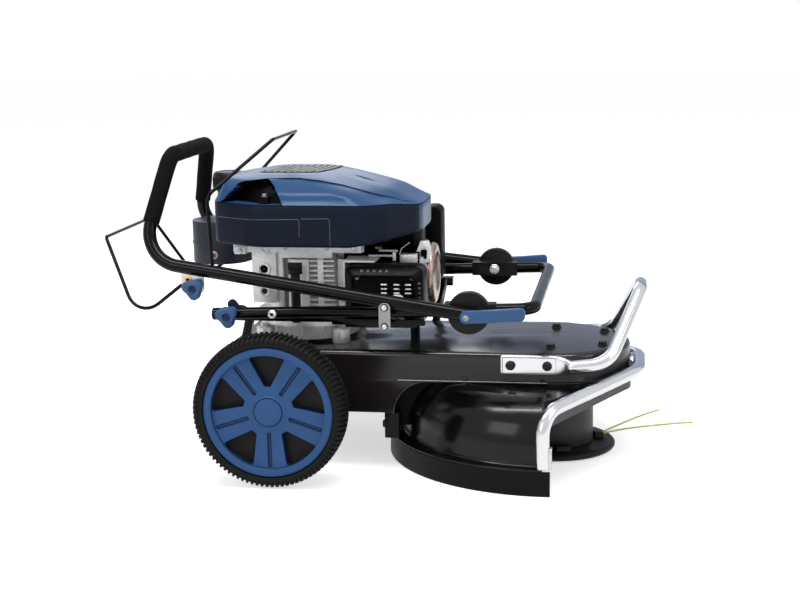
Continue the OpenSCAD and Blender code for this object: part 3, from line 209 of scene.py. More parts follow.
class Paint(Sheet):
    """The shader sheet of one material."""

    def __init__(self, name: str) -> None:
        """Starts a material with one Principled shader.

        Args:
            name: The material's name.
        """
        self.material = bpy.data.materials.new(name)
        self.material.use_nodes = True
        super().__init__(self.material.node_tree)
        self.shader = self.node("ShaderNodeBsdfPrincipled")
        self.node("ShaderNodeOutputMaterial", {}, {"Surface": self.out(self.shader)})
        self.place = self.out(self.node("ShaderNodeTexCoord"), "Object")

    def stretched(self, scale: Point) -> Signal:
        """The object's coordinates, scaled on each axis."""
        return self.out(self.node("ShaderNodeMapping", {}, {"Vector": self.place, "Scale": scale}))

    def noise(self, size_mm: float, detail: float = 3.0, scale: Point = (1, 1, 1)) -> Signal:
        """A soft noise from 0 to 1.

        Args:
            size_mm: Size of its largest features.
            detail: Number of finer octaves.
            scale: Stretch of the coordinates on each axis.

        Returns:
            The noise.
        """
        where = self.place if tuple(scale) == (1, 1, 1) else self.stretched(scale)
        made = self.node(
            "ShaderNodeTexNoise", {}, {"Vector": where, "Scale": 1 / (size_mm * MM), "Detail": detail})
        return self.out(made, 0)

    def cells(self, size_mm: float) -> Signal:
        """The distance to the nearest of scattered points, in cells."""
        made = self.node("ShaderNodeTexVoronoi", {}, {"Vector": self.place, "Scale": 1 / (size_mm * MM)})
        return self.out(made, "Distance")

    def ramp(self, value: Signal, low: float, high: float) -> Signal:
        """A smooth step from 0 at low to 1 at high."""
        return self.out(self.node("ShaderNodeMapRange", {"interpolation_type": "SMOOTHSTEP"},
                                  {"Value": value, "From Min": low, "From Max": high}))

    def blend(self, share: Operand, first: object, second: object) -> Signal:
        """A colour between two colours."""
        made = self.node("ShaderNodeMix", {"data_type": "RGBA"}, {0: share, 6: first, 7: second})
        return self.out(made, 2)

    def relief(self, height: Signal, depth_mm: float) -> None:
        """Feeds a height, through a Bump node, to the shader's normal."""
        made = self.node("ShaderNodeBump", {}, {"Height": height, "Distance": depth_mm * MM})
        self.feed(self.shader.inputs["Normal"], self.out(made))


def placed(name: str, data: ID) -> Object:
    """A new object in the scene.

    Args:
        name: The object's name.
        data: Its mesh, lamp or camera.

    Returns:
        The object.
    """
    obj = bpy.data.objects.new(name, data)
    bpy.context.scene.collection.objects.link(obj)
    return obj


def frozen(obj: Object) -> Mesh:
    """An object's shape, with its modifiers applied, as a plain mesh."""
    bpy.context.view_layer.update()
    return bpy.data.meshes.new_from_object(obj.evaluated_get(bpy.context.evaluated_depsgraph_get()))


def turn_to(axis: Point) -> Matrix:
    """The turn that brings Z to an axis."""
    return Vector((0, 0, 1)).rotation_difference(Vector(axis).normalized()).to_matrix().to_4x4()


def facing(place: Point, axis: Point) -> Matrix:
    """A frame at a place, whose Z points along an axis."""
    return Matrix.Translation(place) @ turn_to(axis)


def angles(count: int) -> list[float]:
    """Equal steps of a full turn."""
    return [2 * pi * k / count for k in range(count)]


def rgba(colour: Colour) -> tuple[float, float, float, float]:
    """A colour with full alpha."""
    return (*colour, 1)


@dataclass(frozen=True)
class Finish:
    """One surface finish, with its record slot and the numbers that its nodes use."""

    slot: str
    colour: Colour
    drift: Colour
    roughness: float
    metallic: float = 0.0
    mottle_mm: float = 60.0
    mottle: float = 0.5
    rough_swing: float = 0.12
    grain: Grain = Grain.FINE
    grain_mm: float = 1.2
    grain_depth_mm: float = 0.03
    scuff: float = 0.25
    specular: float = 0.5
    label: str = ""

    @property
    def name(self) -> str:
        """The material's name."""
        return self.label or self.slot

    def material(self) -> Material:
        """The finish as a material, which is built once.

        Returns:
            The material.
        """
        found = bpy.data.materials.get("finish_" + self.name)
        return found if found else self._build()

    def _height(self, paint: Paint) -> Signal:
        """The fine relief as a height from 0 to 1.

        Args:
            paint: The material's sheet.

        Returns:
            The height.
        """
        if self.grain is Grain.BRUSHED:
            return paint.noise(self.grain_mm, 2, (0.05, 1, 1))
        if self.grain is Grain.CAST:
            return paint.noise(self.grain_mm, 4) * 0.65 + paint.cells(self.grain_mm * 1.6) * 0.35
        if self.grain is Grain.PORES:
            pits = paint.ramp(paint.cells(self.grain_mm), 0.15, 0.6)
            return pits * 0.7 + paint.noise(self.grain_mm * 6, 2) * 0.3
        if self.grain is Grain.PEEL:
            return paint.noise(self.grain_mm, 0)
        return paint.noise(self.grain_mm, 4)

    def _build(self) -> Material:
        """Builds the material's nodes.

        Returns:
            The material.
        """
        paint = Paint("finish_" + self.name)
        shader = paint.shader.inputs
        mottle = paint.ramp(paint.noise(self.mottle_mm, 4), 0.3, 0.7)
        height = self._height(paint)
        scuffs = paint.ramp(paint.noise(7, 5, (1, 0.25, 2.2)), 0.62, 0.74) * self.scuff
        colour = paint.blend(mottle * self.mottle, rgba(self.colour), rgba(self.drift))
        paint.feed(shader["Base Color"], colour)
        swing = (mottle - 0.5) * self.rough_swing + scuffs * 0.3 + (height - 0.5) * (self.rough_swing * 0.6)
        paint.feed(shader["Roughness"], swing + self.roughness)
        shader["Metallic"].default_value = self.metallic
        shader["Specular IOR Level"].default_value = self.specular
        paint.relief(height + scuffs * 0.2, self.grain_depth_mm)
        return paint.material


# Finishes
TUBE_BLACK = Finish("tube_paint", (0.0015, 0.0015, 0.002), (0.003, 0.003, 0.0035), 0.16, grain=Grain.PEEL,
                    grain_mm=2.5, grain_depth_mm=0.02, specular=0.12)
DECK_BLACK = Finish(
    "deck_paint", (0.013, 0.010, 0.012), (0.016, 0.012, 0.014), 0.22, grain=Grain.PEEL, grain_mm=3,
    grain_depth_mm=0.01, mottle_mm=140, scuff=0.08, rough_swing=0.05, specular=0.4)
GUARD_BLACK = Finish("guard_paint", (0.003, 0.0035, 0.0035), (0.005, 0.005, 0.005), 0.15, grain=Grain.PEEL,
                     grain_mm=4, grain_depth_mm=0.015, mottle_mm=120, scuff=0.1, specular=0.22)
LIP_BLACK = Finish(
    "guard_paint", (0.022, 0.020, 0.023), (0.030, 0.027, 0.031), 0.4, mottle_mm=60, label="nose_lip")
SKIRT_RUBBER = Finish("skirt_rubber", (0.004, 0.004, 0.005), (0.006, 0.006, 0.007), 0.4, grain_mm=0.9,
                      grain_depth_mm=0.05, specular=0.08)
CHROME = Finish("bumper_chrome", (0.60, 0.61, 0.63), (0.54, 0.55, 0.57), 0.18, metallic=1, rough_swing=0.05,
                mottle=0.4, grain=Grain.PEEL, grain_mm=30, grain_depth_mm=0.02, scuff=0.08)
ZINC = Finish("zinc_steel", (0.62, 0.62, 0.60), (0.48, 0.49, 0.49), 0.36, metallic=0.8, mottle_mm=5,
              mottle=0.7, grain_mm=2, grain_depth_mm=0.03)
STRAP_STEEL = Finish("zinc_steel", (0.36, 0.36, 0.355), (0.27, 0.27, 0.27), 0.5, metallic=0.3, mottle_mm=2.5,
                     mottle=0.8, grain_mm=1.2, grain_depth_mm=0.05, label="strap_steel")
BARE_STEEL = Finish("dark_steel", (0.22, 0.22, 0.23), (0.15, 0.15, 0.16), 0.38, metallic=1,
                    grain=Grain.BRUSHED, grain_mm=0.7, mottle_mm=18)
BOLT_BLACK = Finish("bolt_black", (0.006, 0.006, 0.006), (0.012, 0.012, 0.012), 0.38, metallic=0.2,
                    mottle_mm=6, grain_mm=0.6, specular=0.3)
FOAM = Finish("grip_foam", (0.005, 0.005, 0.006), (0.009, 0.009, 0.010), 0.88, grain=Grain.PORES,
              grain_mm=0.9, grain_depth_mm=0.18, mottle_mm=9, scuff=0.1, specular=0.06)
COVER_BLUE = Finish(
    "cover_blue", (0.020, 0.072, 0.185), (0.023, 0.080, 0.2), 0.3, grain=Grain.PEEL, grain_mm=3.5,
    grain_depth_mm=0.012, mottle_mm=120, rough_swing=0.06, scuff=0.12, specular=0.18)
RIM_BLUE = Finish("rim_blue", (0.024, 0.082, 0.225), (0.029, 0.090, 0.240), 0.5, grain_mm=0.8,
                  grain_depth_mm=0.03, mottle_mm=40, specular=0.25)
RIM_SHADE = Finish("rim_blue", (0.006, 0.018, 0.05), (0.008, 0.022, 0.06), 0.6, mottle_mm=30, specular=0.1,
                   label="rim_shade")
KNOB_BLUE = Finish("knob_blue", (0.026, 0.090, 0.225), (0.031, 0.098, 0.240), 0.4, grain_mm=0.6,
                   grain_depth_mm=0.03, mottle_mm=15, specular=0.35)
BAND_NAVY = Finish("band_navy", (0.005, 0.009, 0.021), (0.006, 0.011, 0.024), 0.4, grain_mm=0.9,
                   grain_depth_mm=0.02, mottle_mm=90, specular=0.1)
# Lighter copy of the band's navy for its raised panel lines: a painted highlight on their edges
BAND_LINE_HIGHLIGHT = Finish("band_navy", (0.035, 0.045, 0.070), (0.042, 0.054, 0.080), 0.3, grain_mm=0.9, mottle_mm=30,
                   label="band_line")
# Black for the cover's niche and its boss, and for sheets that are painted shade: the arch, the grille's
# gaps, behind the head's eye and under the housing
NICHE_AND_SHADE_BLACK = Finish("black_plastic", (0.002, 0.002, 0.002), (0.004, 0.004, 0.004), 0.45, grain_mm=0.8,
                     mottle_mm=20, specular=0.05, label="niche_black")
GRILLE_GREY = Finish("black_plastic", (0.25, 0.24, 0.23), (0.3, 0.29, 0.28), 0.4, grain_mm=0.6, mottle_mm=15,
                     label="grille_grey")
GLOSS_BLACK = Finish("black_plastic", (0.003, 0.003, 0.004), (0.005, 0.005, 0.006), 0.5, grain=Grain.PEEL,
                     grain_mm=3, mottle_mm=40, specular=0.05, label="gloss_black")
PLASTIC_BLACK = Finish("black_plastic", (0.006, 0.006, 0.007), (0.010, 0.010, 0.011), 0.4, grain_mm=0.8,
                       grain_depth_mm=0.04, mottle_mm=25, specular=0.15)
TANK_BLUE = Finish("tank_plastic", (0.016, 0.020, 0.032), (0.020, 0.025, 0.038), 0.45, grain_mm=1,
                   grain_depth_mm=0.03, mottle_mm=45, specular=0.25)
CASTING = Finish("cast_aluminium", (0.86, 0.87, 0.88), (0.68, 0.69, 0.71), 0.42, metallic=0.4, mottle_mm=14,
                 grain=Grain.CAST, grain_mm=1.1, grain_depth_mm=0.12, scuff=0.35)
IRON = Finish("grey_iron", (0.28, 0.28, 0.29), (0.2, 0.2, 0.2), 0.5, metallic=0.9, grain=Grain.CAST,
              grain_mm=1.5, grain_depth_mm=0.08)
YELLOW_ZINC = Finish("yellow_zinc", (0.36, 0.245, 0.185), (0.38, 0.33, 0.30), 0.3, metallic=0.9, mottle_mm=16,
                     mottle=0.9, grain_mm=1, grain_depth_mm=0.02)
TYRE_RUBBER = Finish("tyre_rubber", (0.006, 0.006, 0.006), (0.011, 0.0105, 0.010), 0.62, grain_mm=0.7,
                     grain_depth_mm=0.08, mottle_mm=20, specular=0.12)
BELT_RUBBER = Finish(
    "belt_rubber", (0.02, 0.02, 0.02), (0.035, 0.033, 0.03), 0.75, grain_mm=0.5, grain_depth_mm=0.06)
LINE_NYLON = Finish("line_nylon", (0.56, 0.60, 0.07), (0.64, 0.67, 0.12), 0.35, mottle_mm=4, grain_mm=0.5,
                    grain_depth_mm=0.02)
# Black heat paint for the exhaust guard, and the cylinder barrel's black, which is painted shade under the
# housing
HEAT_BLACK_AND_SHADE = Finish("black_plastic", (0.002, 0.002, 0.002), (0.004, 0.0035, 0.0035), 0.35, mottle_mm=12,
                    grain_mm=0.7, grain_depth_mm=0.06, specular=0.06, label="heat_black")
WHEEL_BLACK = Finish("black_plastic", (0.013, 0.012, 0.012), (0.017, 0.015, 0.015), 0.6, mottle_mm=30,
                     specular=0.15, label="wheel_black")
DRUM_GREY = Finish("black_plastic", (0.030, 0.026, 0.028), (0.040, 0.034, 0.036), 0.45, mottle_mm=30,
                   specular=0.3, label="drum_grey")
KNOB_NAVY = Finish("knob_blue", (0.010, 0.022, 0.075), (0.015, 0.03, 0.09), 0.42, mottle_mm=12, specular=0.15,
                   label="knob_navy")
BRASS = Finish(
    "yellow_zinc", (0.70, 0.50, 0.22), (0.60, 0.42, 0.2), 0.3, metallic=1, mottle_mm=5, label="brass")
WHITE_TAP = Finish("black_plastic", (0.62, 0.61, 0.58), (0.5, 0.5, 0.48), 0.4, mottle_mm=4, label="white_tap")
RED_TAP = Finish("black_plastic", (0.42, 0.02, 0.02), (0.33, 0.02, 0.02), 0.4, mottle_mm=4, label="red_tap")


def bent(points: Sequence[Point], bends: Sequence[float], steps: int = 12) -> list[Vector]:
    """A path with its inner corners rounded.

    Args:
        points: The path's corners, in millimetres from the axle.
        bends: The bend radius at each inner corner.
        steps: Number of steps in each bend.

    Returns:
        The points of the rounded path.
    """
    corners = [Vector(p) for p in points]
    route = [corners[0]]
    for before, corner, after, radius in zip(corners, corners[1:], corners[2:], bends):
        entry = (corner - before).normalized()
        leave = (after - corner).normalized()
        turn = entry.angle(leave)
        start = corner - entry * radius * tan(turn / 2)
        middle = corner + (leave - entry).normalized() * radius / cos(turn / 2)
        axis = entry.cross(leave).normalized()
        arm = start - middle
        route += [middle + Quaternion(axis, turn * k / steps) @ arm for k in range(steps + 1)]
    route.append(corners[-1])
    return route


def hoop(half: Sequence[Point]) -> list[Point]:
    """A path on the right side, carried on by its mirror image on the left side."""
    return list(half) + [(p[0], -p[1], p[2]) for p in reversed(half)]


def spline(p0: Vector, p1: Vector, p2: Vector, p3: Vector, t: float) -> Vector:
    """The point of a smooth curve at a share t of the way from p1 to p2."""
    square = (2 * p0 - 5 * p1 + 4 * p2 - p3) * t * t
    return 0.5 * (2 * p1 + (p2 - p0) * t + square + (3 * p1 - p0 - 3 * p2 + p3) * t ** 3)


def tangents(line: Sequence[Vector]) -> list[Vector]:
    """The direction of a path at each of its points."""
    ways = [(b - a).normalized() for a, b in zip(line, line[1:])]
    return [ways[0]] + [(a + b).normalized() for a, b in zip(ways, ways[1:])] + [ways[-1]]


def flowing(points: Sequence[Point], steps: int = 6) -> list[Vector]:
    """A smooth curve through points.

    Args:
        points: The points, in order.
        steps: Number of steps between two of them.

    Returns:
        The points of the curve.
    """
    knots = [Vector(p) for p in points]
    padded = [2 * knots[0] - knots[1], *knots, 2 * knots[-1] - knots[-2]]
    curve = []
    for p0, p1, p2, p3 in zip(padded, padded[1:], padded[2:], padded[3:]):
        for k in range(steps):
            curve.append(spline(p0, p1, p2, p3, k / steps))
    curve.append(knots[-1])
    return curve


def smooth_step(value: float, low: float, high: float) -> float:
    """A smooth step from 0 at low to 1 at high."""
    share = min(max((value - low) / (high - low), 0), 1)
    return share * share * (3 - 2 * share)


def table_value(table: Sequence[tuple[float, float]], x: float) -> float:
    """A value from a table of places and values, with straight runs between them.

    Args:
        table: The places and their values, in order.
        x: The place.

    Returns:
        The value.
    """
    if x <= table[0][0]:
        return table[0][1]
    for (x0, v0), (x1, v1) in zip(table, table[1:]):
        if x <= x1:
            return v0 + (v1 - v0) * (x - x0) / (x1 - x0)
    return table[-1][1]


def soft_box(half_u: float, half_v: float, power: float, steps: int = 64) -> list[tuple[float, float]]:
    """A rectangle with soft corners, as points round its middle.

    Args:
        half_u: Half its width.
        half_v: Half its height.
        power: 1 for an ellipse, and less for sharper corners.
        steps: Number of points.

    Returns:
        The points.
    """
    turns = [(cos(a), sin(a)) for a in angles(steps)]
    return [(half_u * copysign(abs(c) ** power, c), half_v * copysign(abs(s) ** power, s)) for c, s in turns]


class Form:
    """A mesh in the making, in millimetres from the wheel axle."""

    def __init__(self, name: str) -> None:
        """Starts an empty form with the name of its piece."""
        self.name = name
        self.bm = bmesh.new()

    def loft(self, loops: Sequence[Sequence[Point]], caps: bool = True, closed: bool = False) -> Form:
        """Joins closed loops of equal length into a skin.

        Args:
            loops: The loops, in order.
            caps: Whether the first and last loop are filled.
            closed: Whether the last loop joins the first.

        Returns:
            The form itself.
        """
        rows = [[self.bm.verts.new(Vector(p)) for p in loop] for loop in loops]
        count = len(rows[0])
        pairs = list(zip(rows, rows[1:])) + ([(rows[-1], rows[0])] if closed else [])
        for low, high in pairs:
            for k in range(count):
                n = (k + 1) % count
                self.bm.faces.new((low[k], low[n], high[n], high[k]))
        if caps and not closed:
            self.bm.faces.new(list(reversed(rows[0])))
            self.bm.faces.new(rows[-1])
        return self

    def sweep(self, path: Sequence[Point], radius: float, sides: int = 20, edge: float = 0.8) -> Form:
        """Sweeps a round section along a path, with broken edges at its ends.

        Args:
            path: The middle line.
            radius: Radius of the section.
            sides: Number of sides of the section.
            edge: Width of the broken edge at each end.

        Returns:
            The form itself.
        """
        line = [Vector(p) for p in path]
        headings = tangents(line)
        first = headings[0]
        normal = first.cross(Vector((0, 0, 1)) if abs(first.z) < 0.9 else Vector((1, 0, 0))).normalized()
        loops = []
        for k, (spot, way) in enumerate(zip(line, headings)):
            normal = (normal - way * normal.dot(way)).normalized()
            other = way.cross(normal)
            sizes = [(0, radius)]
            if k == 0:
                sizes = [(0, radius - edge), (edge, radius)]
            elif k == len(line) - 1:
                sizes = [(-edge, radius), (0, radius - edge)]
            for shift, size in sizes:
                loops.append(
                    [spot + way * shift + (normal * cos(a) + other * sin(a)) * size for a in angles(sides)])
        return self.loft(loops)

    def lathe(self, profile: Sequence[Point], frame: Matrix, steps: int = 96, start: float = 0.0,
              turn: float = 360.0) -> Form:
        """Turns a closed profile round an axis.

        Args:
            profile: Closed outline of (radius, height) points.
            frame: Where the axis, local Z, and its foot are.
            steps: Number of steps round the axis.
            start: Angle of the first step, in degrees.
            turn: Angle to the last step.

        Returns:
            The form itself.
        """
        whole = abs(turn - 360) < 1e-6
        loops = []
        for k in range(steps if whole else steps + 1):
            a = radians(start + turn * k / steps)
            loops.append([frame @ Vector((r * cos(a), r * sin(a), h)) for r, h in profile])
        return self.loft(loops, caps=not whole, closed=whole)

    def rod(self, radius: float, low: float, high: float, frame: Matrix, steps: int = 20) -> Form:
        """Adds a plain round rod between two heights on the frame's Z."""
        return self.lathe([(AXIS, low), (radius, low), (radius, high), (AXIS, high)], frame, steps)

    def prism(self, outline: Sequence[Point], low: float, high: float, frame: Matrix = LEVEL) -> Form:
        """Extrudes a flat outline along local Z."""
        return self.loft([[frame @ Vector((p[0], p[1], h)) for p in outline] for h in (low, high)])

    def box(self, low: Point, high: Point) -> Form:
        """Adds a box between two corners."""
        outline = [(low[0], low[1]), (high[0], low[1]), (high[0], high[1]), (low[0], high[1])]
        return self.prism(outline, low[2], high[2])

    def mesh(self, to_metres: bool = True) -> Mesh:
        """Closes the form.

        Args:
            to_metres: Whether it moves from millimetres at the axle to metres in the frame.

        Returns:
            The mesh.
        """
        bmesh.ops.remove_doubles(self.bm, verts=self.bm.verts, dist=1e-3)
        bmesh.ops.recalc_face_normals(self.bm, faces=self.bm.faces)
        made = bpy.data.meshes.new(self.name)
        self.bm.to_mesh(made)
        self.bm.free()
        if to_metres:
            made.transform(TO_FRAME)
        return made

    def dressed(self, finish: Finish) -> Mesh:
        """Closes the form and gives the mesh its finish.

        Args:
            finish: The finish.

        Returns:
            The mesh.
        """
        made = self.mesh()
        made.materials.append(finish.material())
        return made


class Repeat(Sheet):
    """A Geometry Nodes tree that repeats a shape and gives the copies their material."""

    def __init__(self, name: str, sizes: dict[str, str]) -> None:
        """Starts the tree with its named inputs.

        Args:
            name: The tree's name.
            sizes: The type of socket of each named size.
        """
        super().__init__(bpy.data.node_groups.new(name, "GeometryNodeTree"))
        face = self.tree.interface
        face.new_socket(name="Geometry", in_out="INPUT", socket_type="NodeSocketGeometry")
        for label, kind in {**sizes, "Material": "NodeSocketMaterial"}.items():
            face.new_socket(name=label, in_out="INPUT", socket_type=kind)
        face.new_socket(name="Geometry", in_out="OUTPUT", socket_type="NodeSocketGeometry")
        self.given = self.node("NodeGroupInput")

    def input(self, name: str) -> Signal:
        """One of the tree's inputs as a signal."""
        return self.out(self.given, name)

    def close(self, points: Signal, shape: Signal, turn: Signal | None = None,
              scale: Signal | None = None) -> None:
        """Puts the shape on the points, makes it real and ends the tree.

        Args:
            points: Where the copies go.
            shape: What is copied.
            turn: The copies' turn, where they have one.
            scale: The copies' scale, where they have one.
        """
        copies = self.node("GeometryNodeInstanceOnPoints", {}, {"Points": points, "Instance": shape})
        if turn is not None:
            spin = self.node("FunctionNodeEulerToRotation", {}, {0: turn})
            self.feed(copies.inputs["Rotation"], self.out(spin))
        if scale is not None:
            self.feed(copies.inputs["Scale"], scale)
        real = self.node("GeometryNodeRealizeInstances", {}, {0: self.out(copies)})
        dressed = self.node(
            "GeometryNodeSetMaterial", {}, {"Geometry": self.out(real), "Material": self.input("Material")})
        self.node("NodeGroupOutput", {}, {0: self.out(dressed)})

    def triple(self, x: Operand = 0, y: Operand = 0, z: Operand = 0) -> Signal:
        """Three numbers as a vector."""
        return self.out(self.node("ShaderNodeCombineXYZ", {}, {0: x, 1: y, 2: z}))

    @classmethod
    @cache
    def ring(cls) -> Repeat:
        """A tree that repeats a shape round its Z axis.

        Returns:
            The tree.
        """
        tree = cls("ring_of_copies", {"Count": "NodeSocketInt", "Start": "NodeSocketFloat"})
        points = tree.node("GeometryNodePoints", {}, {"Count": tree.input("Count")})
        index = tree.out(tree.node("GeometryNodeInputIndex"))
        angle = index * (2 * pi) / tree.input("Count") + tree.input("Start")
        tree.close(tree.out(points), tree.input("Geometry"), turn=tree.triple(z=angle))
        return tree

    @classmethod
    @cache
    def row(cls) -> Repeat:
        """A tree that repeats a shape along a line, with copies that may grow shorter towards both ends.

        Returns:
            The tree.
        """
        tree = cls("row_of_copies", {
            "Count": "NodeSocketInt", "Step": "NodeSocketVector", "Taper": "NodeSocketFloat"})
        line = tree.node(
            "GeometryNodeMeshLine", {}, {"Count": tree.input("Count"), "Offset": tree.input("Step")})
        index = tree.out(tree.node("GeometryNodeInputIndex"))
        share = abs(index * 2 / (tree.input("Count") - 1) - 1)
        length = 1.0 - tree.input("Taper") * share ** 4.0
        tree.close(tree.out(line), tree.input("Geometry"), scale=tree.triple(1, length, 1))
        return tree

    @classmethod
    @cache
    def spots(cls) -> Repeat:
        """A tree that puts another object's shape on the points of a mesh.

        Returns:
            The tree.
        """
        tree = cls("shape_on_spots", {"Shape": "NodeSocketObject"})
        info = tree.node("GeometryNodeObjectInfo", {}, {"Object": tree.input("Shape")})
        tree.close(tree.input("Geometry"), tree.out(info, "Geometry"))
        return tree

    def run(self, obj: Object, values: dict[str, object]) -> Mesh:
        """Runs the tree on an object.

        Args:
            obj: The object whose mesh goes in.
            values: The inputs, by name.

        Returns:
            The result as a plain mesh.
        """
        modifier = obj.modifiers.new(self.tree.name, "NODES")
        modifier.node_group = self.tree
        sockets = {s.name: s.identifier for s in self.tree.interface.items_tree if s.in_out == "INPUT"}
        for name, value in values.items():
            modifier[sockets[name]] = value
        done = frozen(obj)
        obj.modifiers.remove(modifier)
        done.materials.clear()
        done.materials.append(values["Material"])
        done.polygons.foreach_set("material_index", [0] * len(done.polygons))
        return done


@dataclass
class Assembly:
    """A sub-assembly, which turns forms and CAD nodes into finished pieces on their bodies."""

    kit: dict

    def piece(self, mesh: Mesh, finish: Finish, *nodes: str, body: str = "frame", bevel: float = 0.0,
              angle: float = SHARP) -> Object:
        """Finishes a mesh as a piece.

        Args:
            mesh: The mesh, in the frame, in metres.
            finish: Its finish.
            nodes: CAD nodes that it stands for.
            body: The CAD body that it rides on.
            bevel: Width of its broken edges in millimetres.
            angle: Angle in degrees above which an edge stays sharp.

        Returns:
            The piece.
        """
        obj = placed(mesh.name, mesh)
        if bevel:
            edge = obj.modifiers.new("edges", "BEVEL")
            edge.width = bevel * MM
            edge.segments = 2
            edge.limit_method = "ANGLE"
            edge.angle_limit = radians(angle)
            edge.use_clamp_overlap = True
            edge.harden_normals = False
            done = frozen(obj)
            obj.modifiers.clear()
            obj.data = done
            done.name = obj.name
        self._smooth(obj.data, angle)
        if not obj.data.materials:
            obj.data.materials.append(finish.material())
        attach(obj, body)
        if nodes:
            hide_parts(*nodes)
        LOG.info("%s on %s, %d faces", obj.name, body, len(obj.data.polygons))
        return obj

    @staticmethod
    def _smooth(mesh: Mesh, angle: float) -> None:
        """Shades a mesh smooth, apart from its sharp edges.

        Args:
            mesh: The mesh.
            angle: Angle in degrees above which an edge stays sharp.
        """
        mesh.polygons.foreach_set("use_smooth", [True] * len(mesh.polygons))
        mesh.set_sharp_from_angle(angle=radians(angle))
        mesh.update()

    def form(self, form: Form, finish: Finish, *nodes: str, body: str = "frame", bevel: float = 0.0,
             angle: float = SHARP) -> Object:
        """Finishes a form as a piece."""
        return self.piece(form.mesh(), finish, *nodes, body=body, bevel=bevel, angle=angle)

    def refine(self, node: str, finish: Finish, bevel: float) -> Object:
        """Stands for a CAD node with a copy that has broken edges and smooth curves.

        Args:
            node: The CAD node.
            finish: Its finish.
            bevel: Width of the broken edges in millimetres.

        Returns:
            The piece.
        """
        bm = bmesh.new()
        bm.from_mesh(self.kit["nodes"][node].data)
        bmesh.ops.remove_doubles(bm, verts=bm.verts, dist=1e-5)
        bmesh.ops.dissolve_limit(bm, angle_limit=radians(0.4), verts=bm.verts, edges=bm.edges)
        made = bpy.data.meshes.new(node + "_dressed")
        bm.to_mesh(made)
        bm.free()
        made.materials.clear()
        bodies = self.kit["record"]["behaviour"]["bodies"]
        body = next(name for name, nodes in bodies.items() if node in nodes)
        return self.piece(made, finish, node, body=body, bevel=bevel)

    def keep(self, node: str, finish: Finish) -> None:
        """Gives a CAD node that stays as it is a finish.

        Args:
            node: The CAD node.
            finish: Its finish.
        """
        slots = self.kit["nodes"][node].data.materials
        slots.clear()
        slots.append(finish.material())

    def repeat(self, tree: Repeat, shape: Form, values: dict[str, object], finish: Finish,
               frame: Matrix) -> Mesh:
        """Repeats a shape with a tree.

        Args:
            tree: The tree.
            shape: The shape, in millimetres, at its own origin.
            values: The tree's sizes.
            finish: The finish of the copies.
            frame: Where the shape's origin goes, in millimetres from the axle.

        Returns:
            The copies as a mesh in the frame.
        """
        unit = placed(shape.name, shape.mesh(to_metres=False))
        made = tree.run(unit, {**values, "Material": finish.material()})
        bpy.data.objects.remove(unit)
        made.transform(TO_FRAME @ frame)
        made.name = shape.name
        return made

    def scatter(self, name: str, shape: Form, spots: Iterable[Point], turn: Matrix, finish: Finish) -> Mesh:
        """Puts a shape on a list of points.

        Args:
            name: The name of the mesh.
            shape: The shape, in millimetres, with its foot at the origin and its axis along Z.
            spots: The points, in millimetres from the axle.
            turn: The turn that brings the shape's Z to its real axis.
            finish: The finish of the copies.

        Returns:
            The copies as a mesh in the frame.
        """
        unit = placed(shape.name, shape.mesh(to_metres=False))
        seeds = bpy.data.meshes.new(name)
        back = turn.inverted()
        seeds.from_pydata([back @ Vector(p) for p in spots], [], [])
        holder = placed(name, seeds)
        made = Repeat.spots().run(holder, {"Shape": unit, "Material": finish.material()})
        for obj in (unit, holder):
            bpy.data.objects.remove(obj)
        made.transform(TO_FRAME @ turn)
        made.name = name
        return made

    def merged(self, name: str, meshes: Sequence[Mesh], finish: Finish, *nodes: str, body: str = "frame",
               angle: float = SHARP) -> Object:
        """Finishes several meshes as one piece, with each one's material kept.

        Args:
            name: The piece's name.
            meshes: The meshes, each with one material.
            finish: The finish handed on to the piece, whose meshes keep their own materials.
            nodes: CAD nodes that it stands for.
            body: The CAD body that it rides on.
            angle: Angle in degrees above which an edge stays sharp.

        Returns:
            The piece.
        """
        bm = bmesh.new()
        made = bpy.data.meshes.new(name)
        for number, mesh in enumerate(meshes):
            before = len(bm.faces)
            bm.from_mesh(mesh)
            bm.faces.ensure_lookup_table()
            for face in bm.faces[before:]:
                face.material_index = number
            made.materials.append(mesh.materials[0])
        bm.to_mesh(made)
        bm.free()
        return self.piece(made, finish, *nodes, body=body, angle=angle)


def hex_bolt(name: str, head_r: float, head_h: float, washer_r: float = 0.0, washer_h: float = 1.5) -> Form:
    """A hexagon bolt's head, on a washer where it has one.

    Args:
        name: The shape's name.
        head_r: Radius out to the head's corners.
        head_h: Height of the head.
        washer_r: Radius of the washer, or 0.
        washer_h: Thickness of the washer.

    Returns:
        The shape, with its foot at the origin.
    """
    shape = Form(name)
    foot = 0
    if washer_r:
        shape.lathe([(AXIS, 0), (washer_r, 0), (washer_r, washer_h * 0.7), (washer_r - 0.6, washer_h),
                     (AXIS, washer_h)], LEVEL, 20)
        foot = washer_h
    corners = [pi / 3 * k for k in range(6)]
    levels = ((0, head_r), (head_h - 1, head_r), (head_h, head_r - 1.4))
    return shape.loft([[(r * cos(a), r * sin(a), foot + h) for a in corners] for h, r in levels])


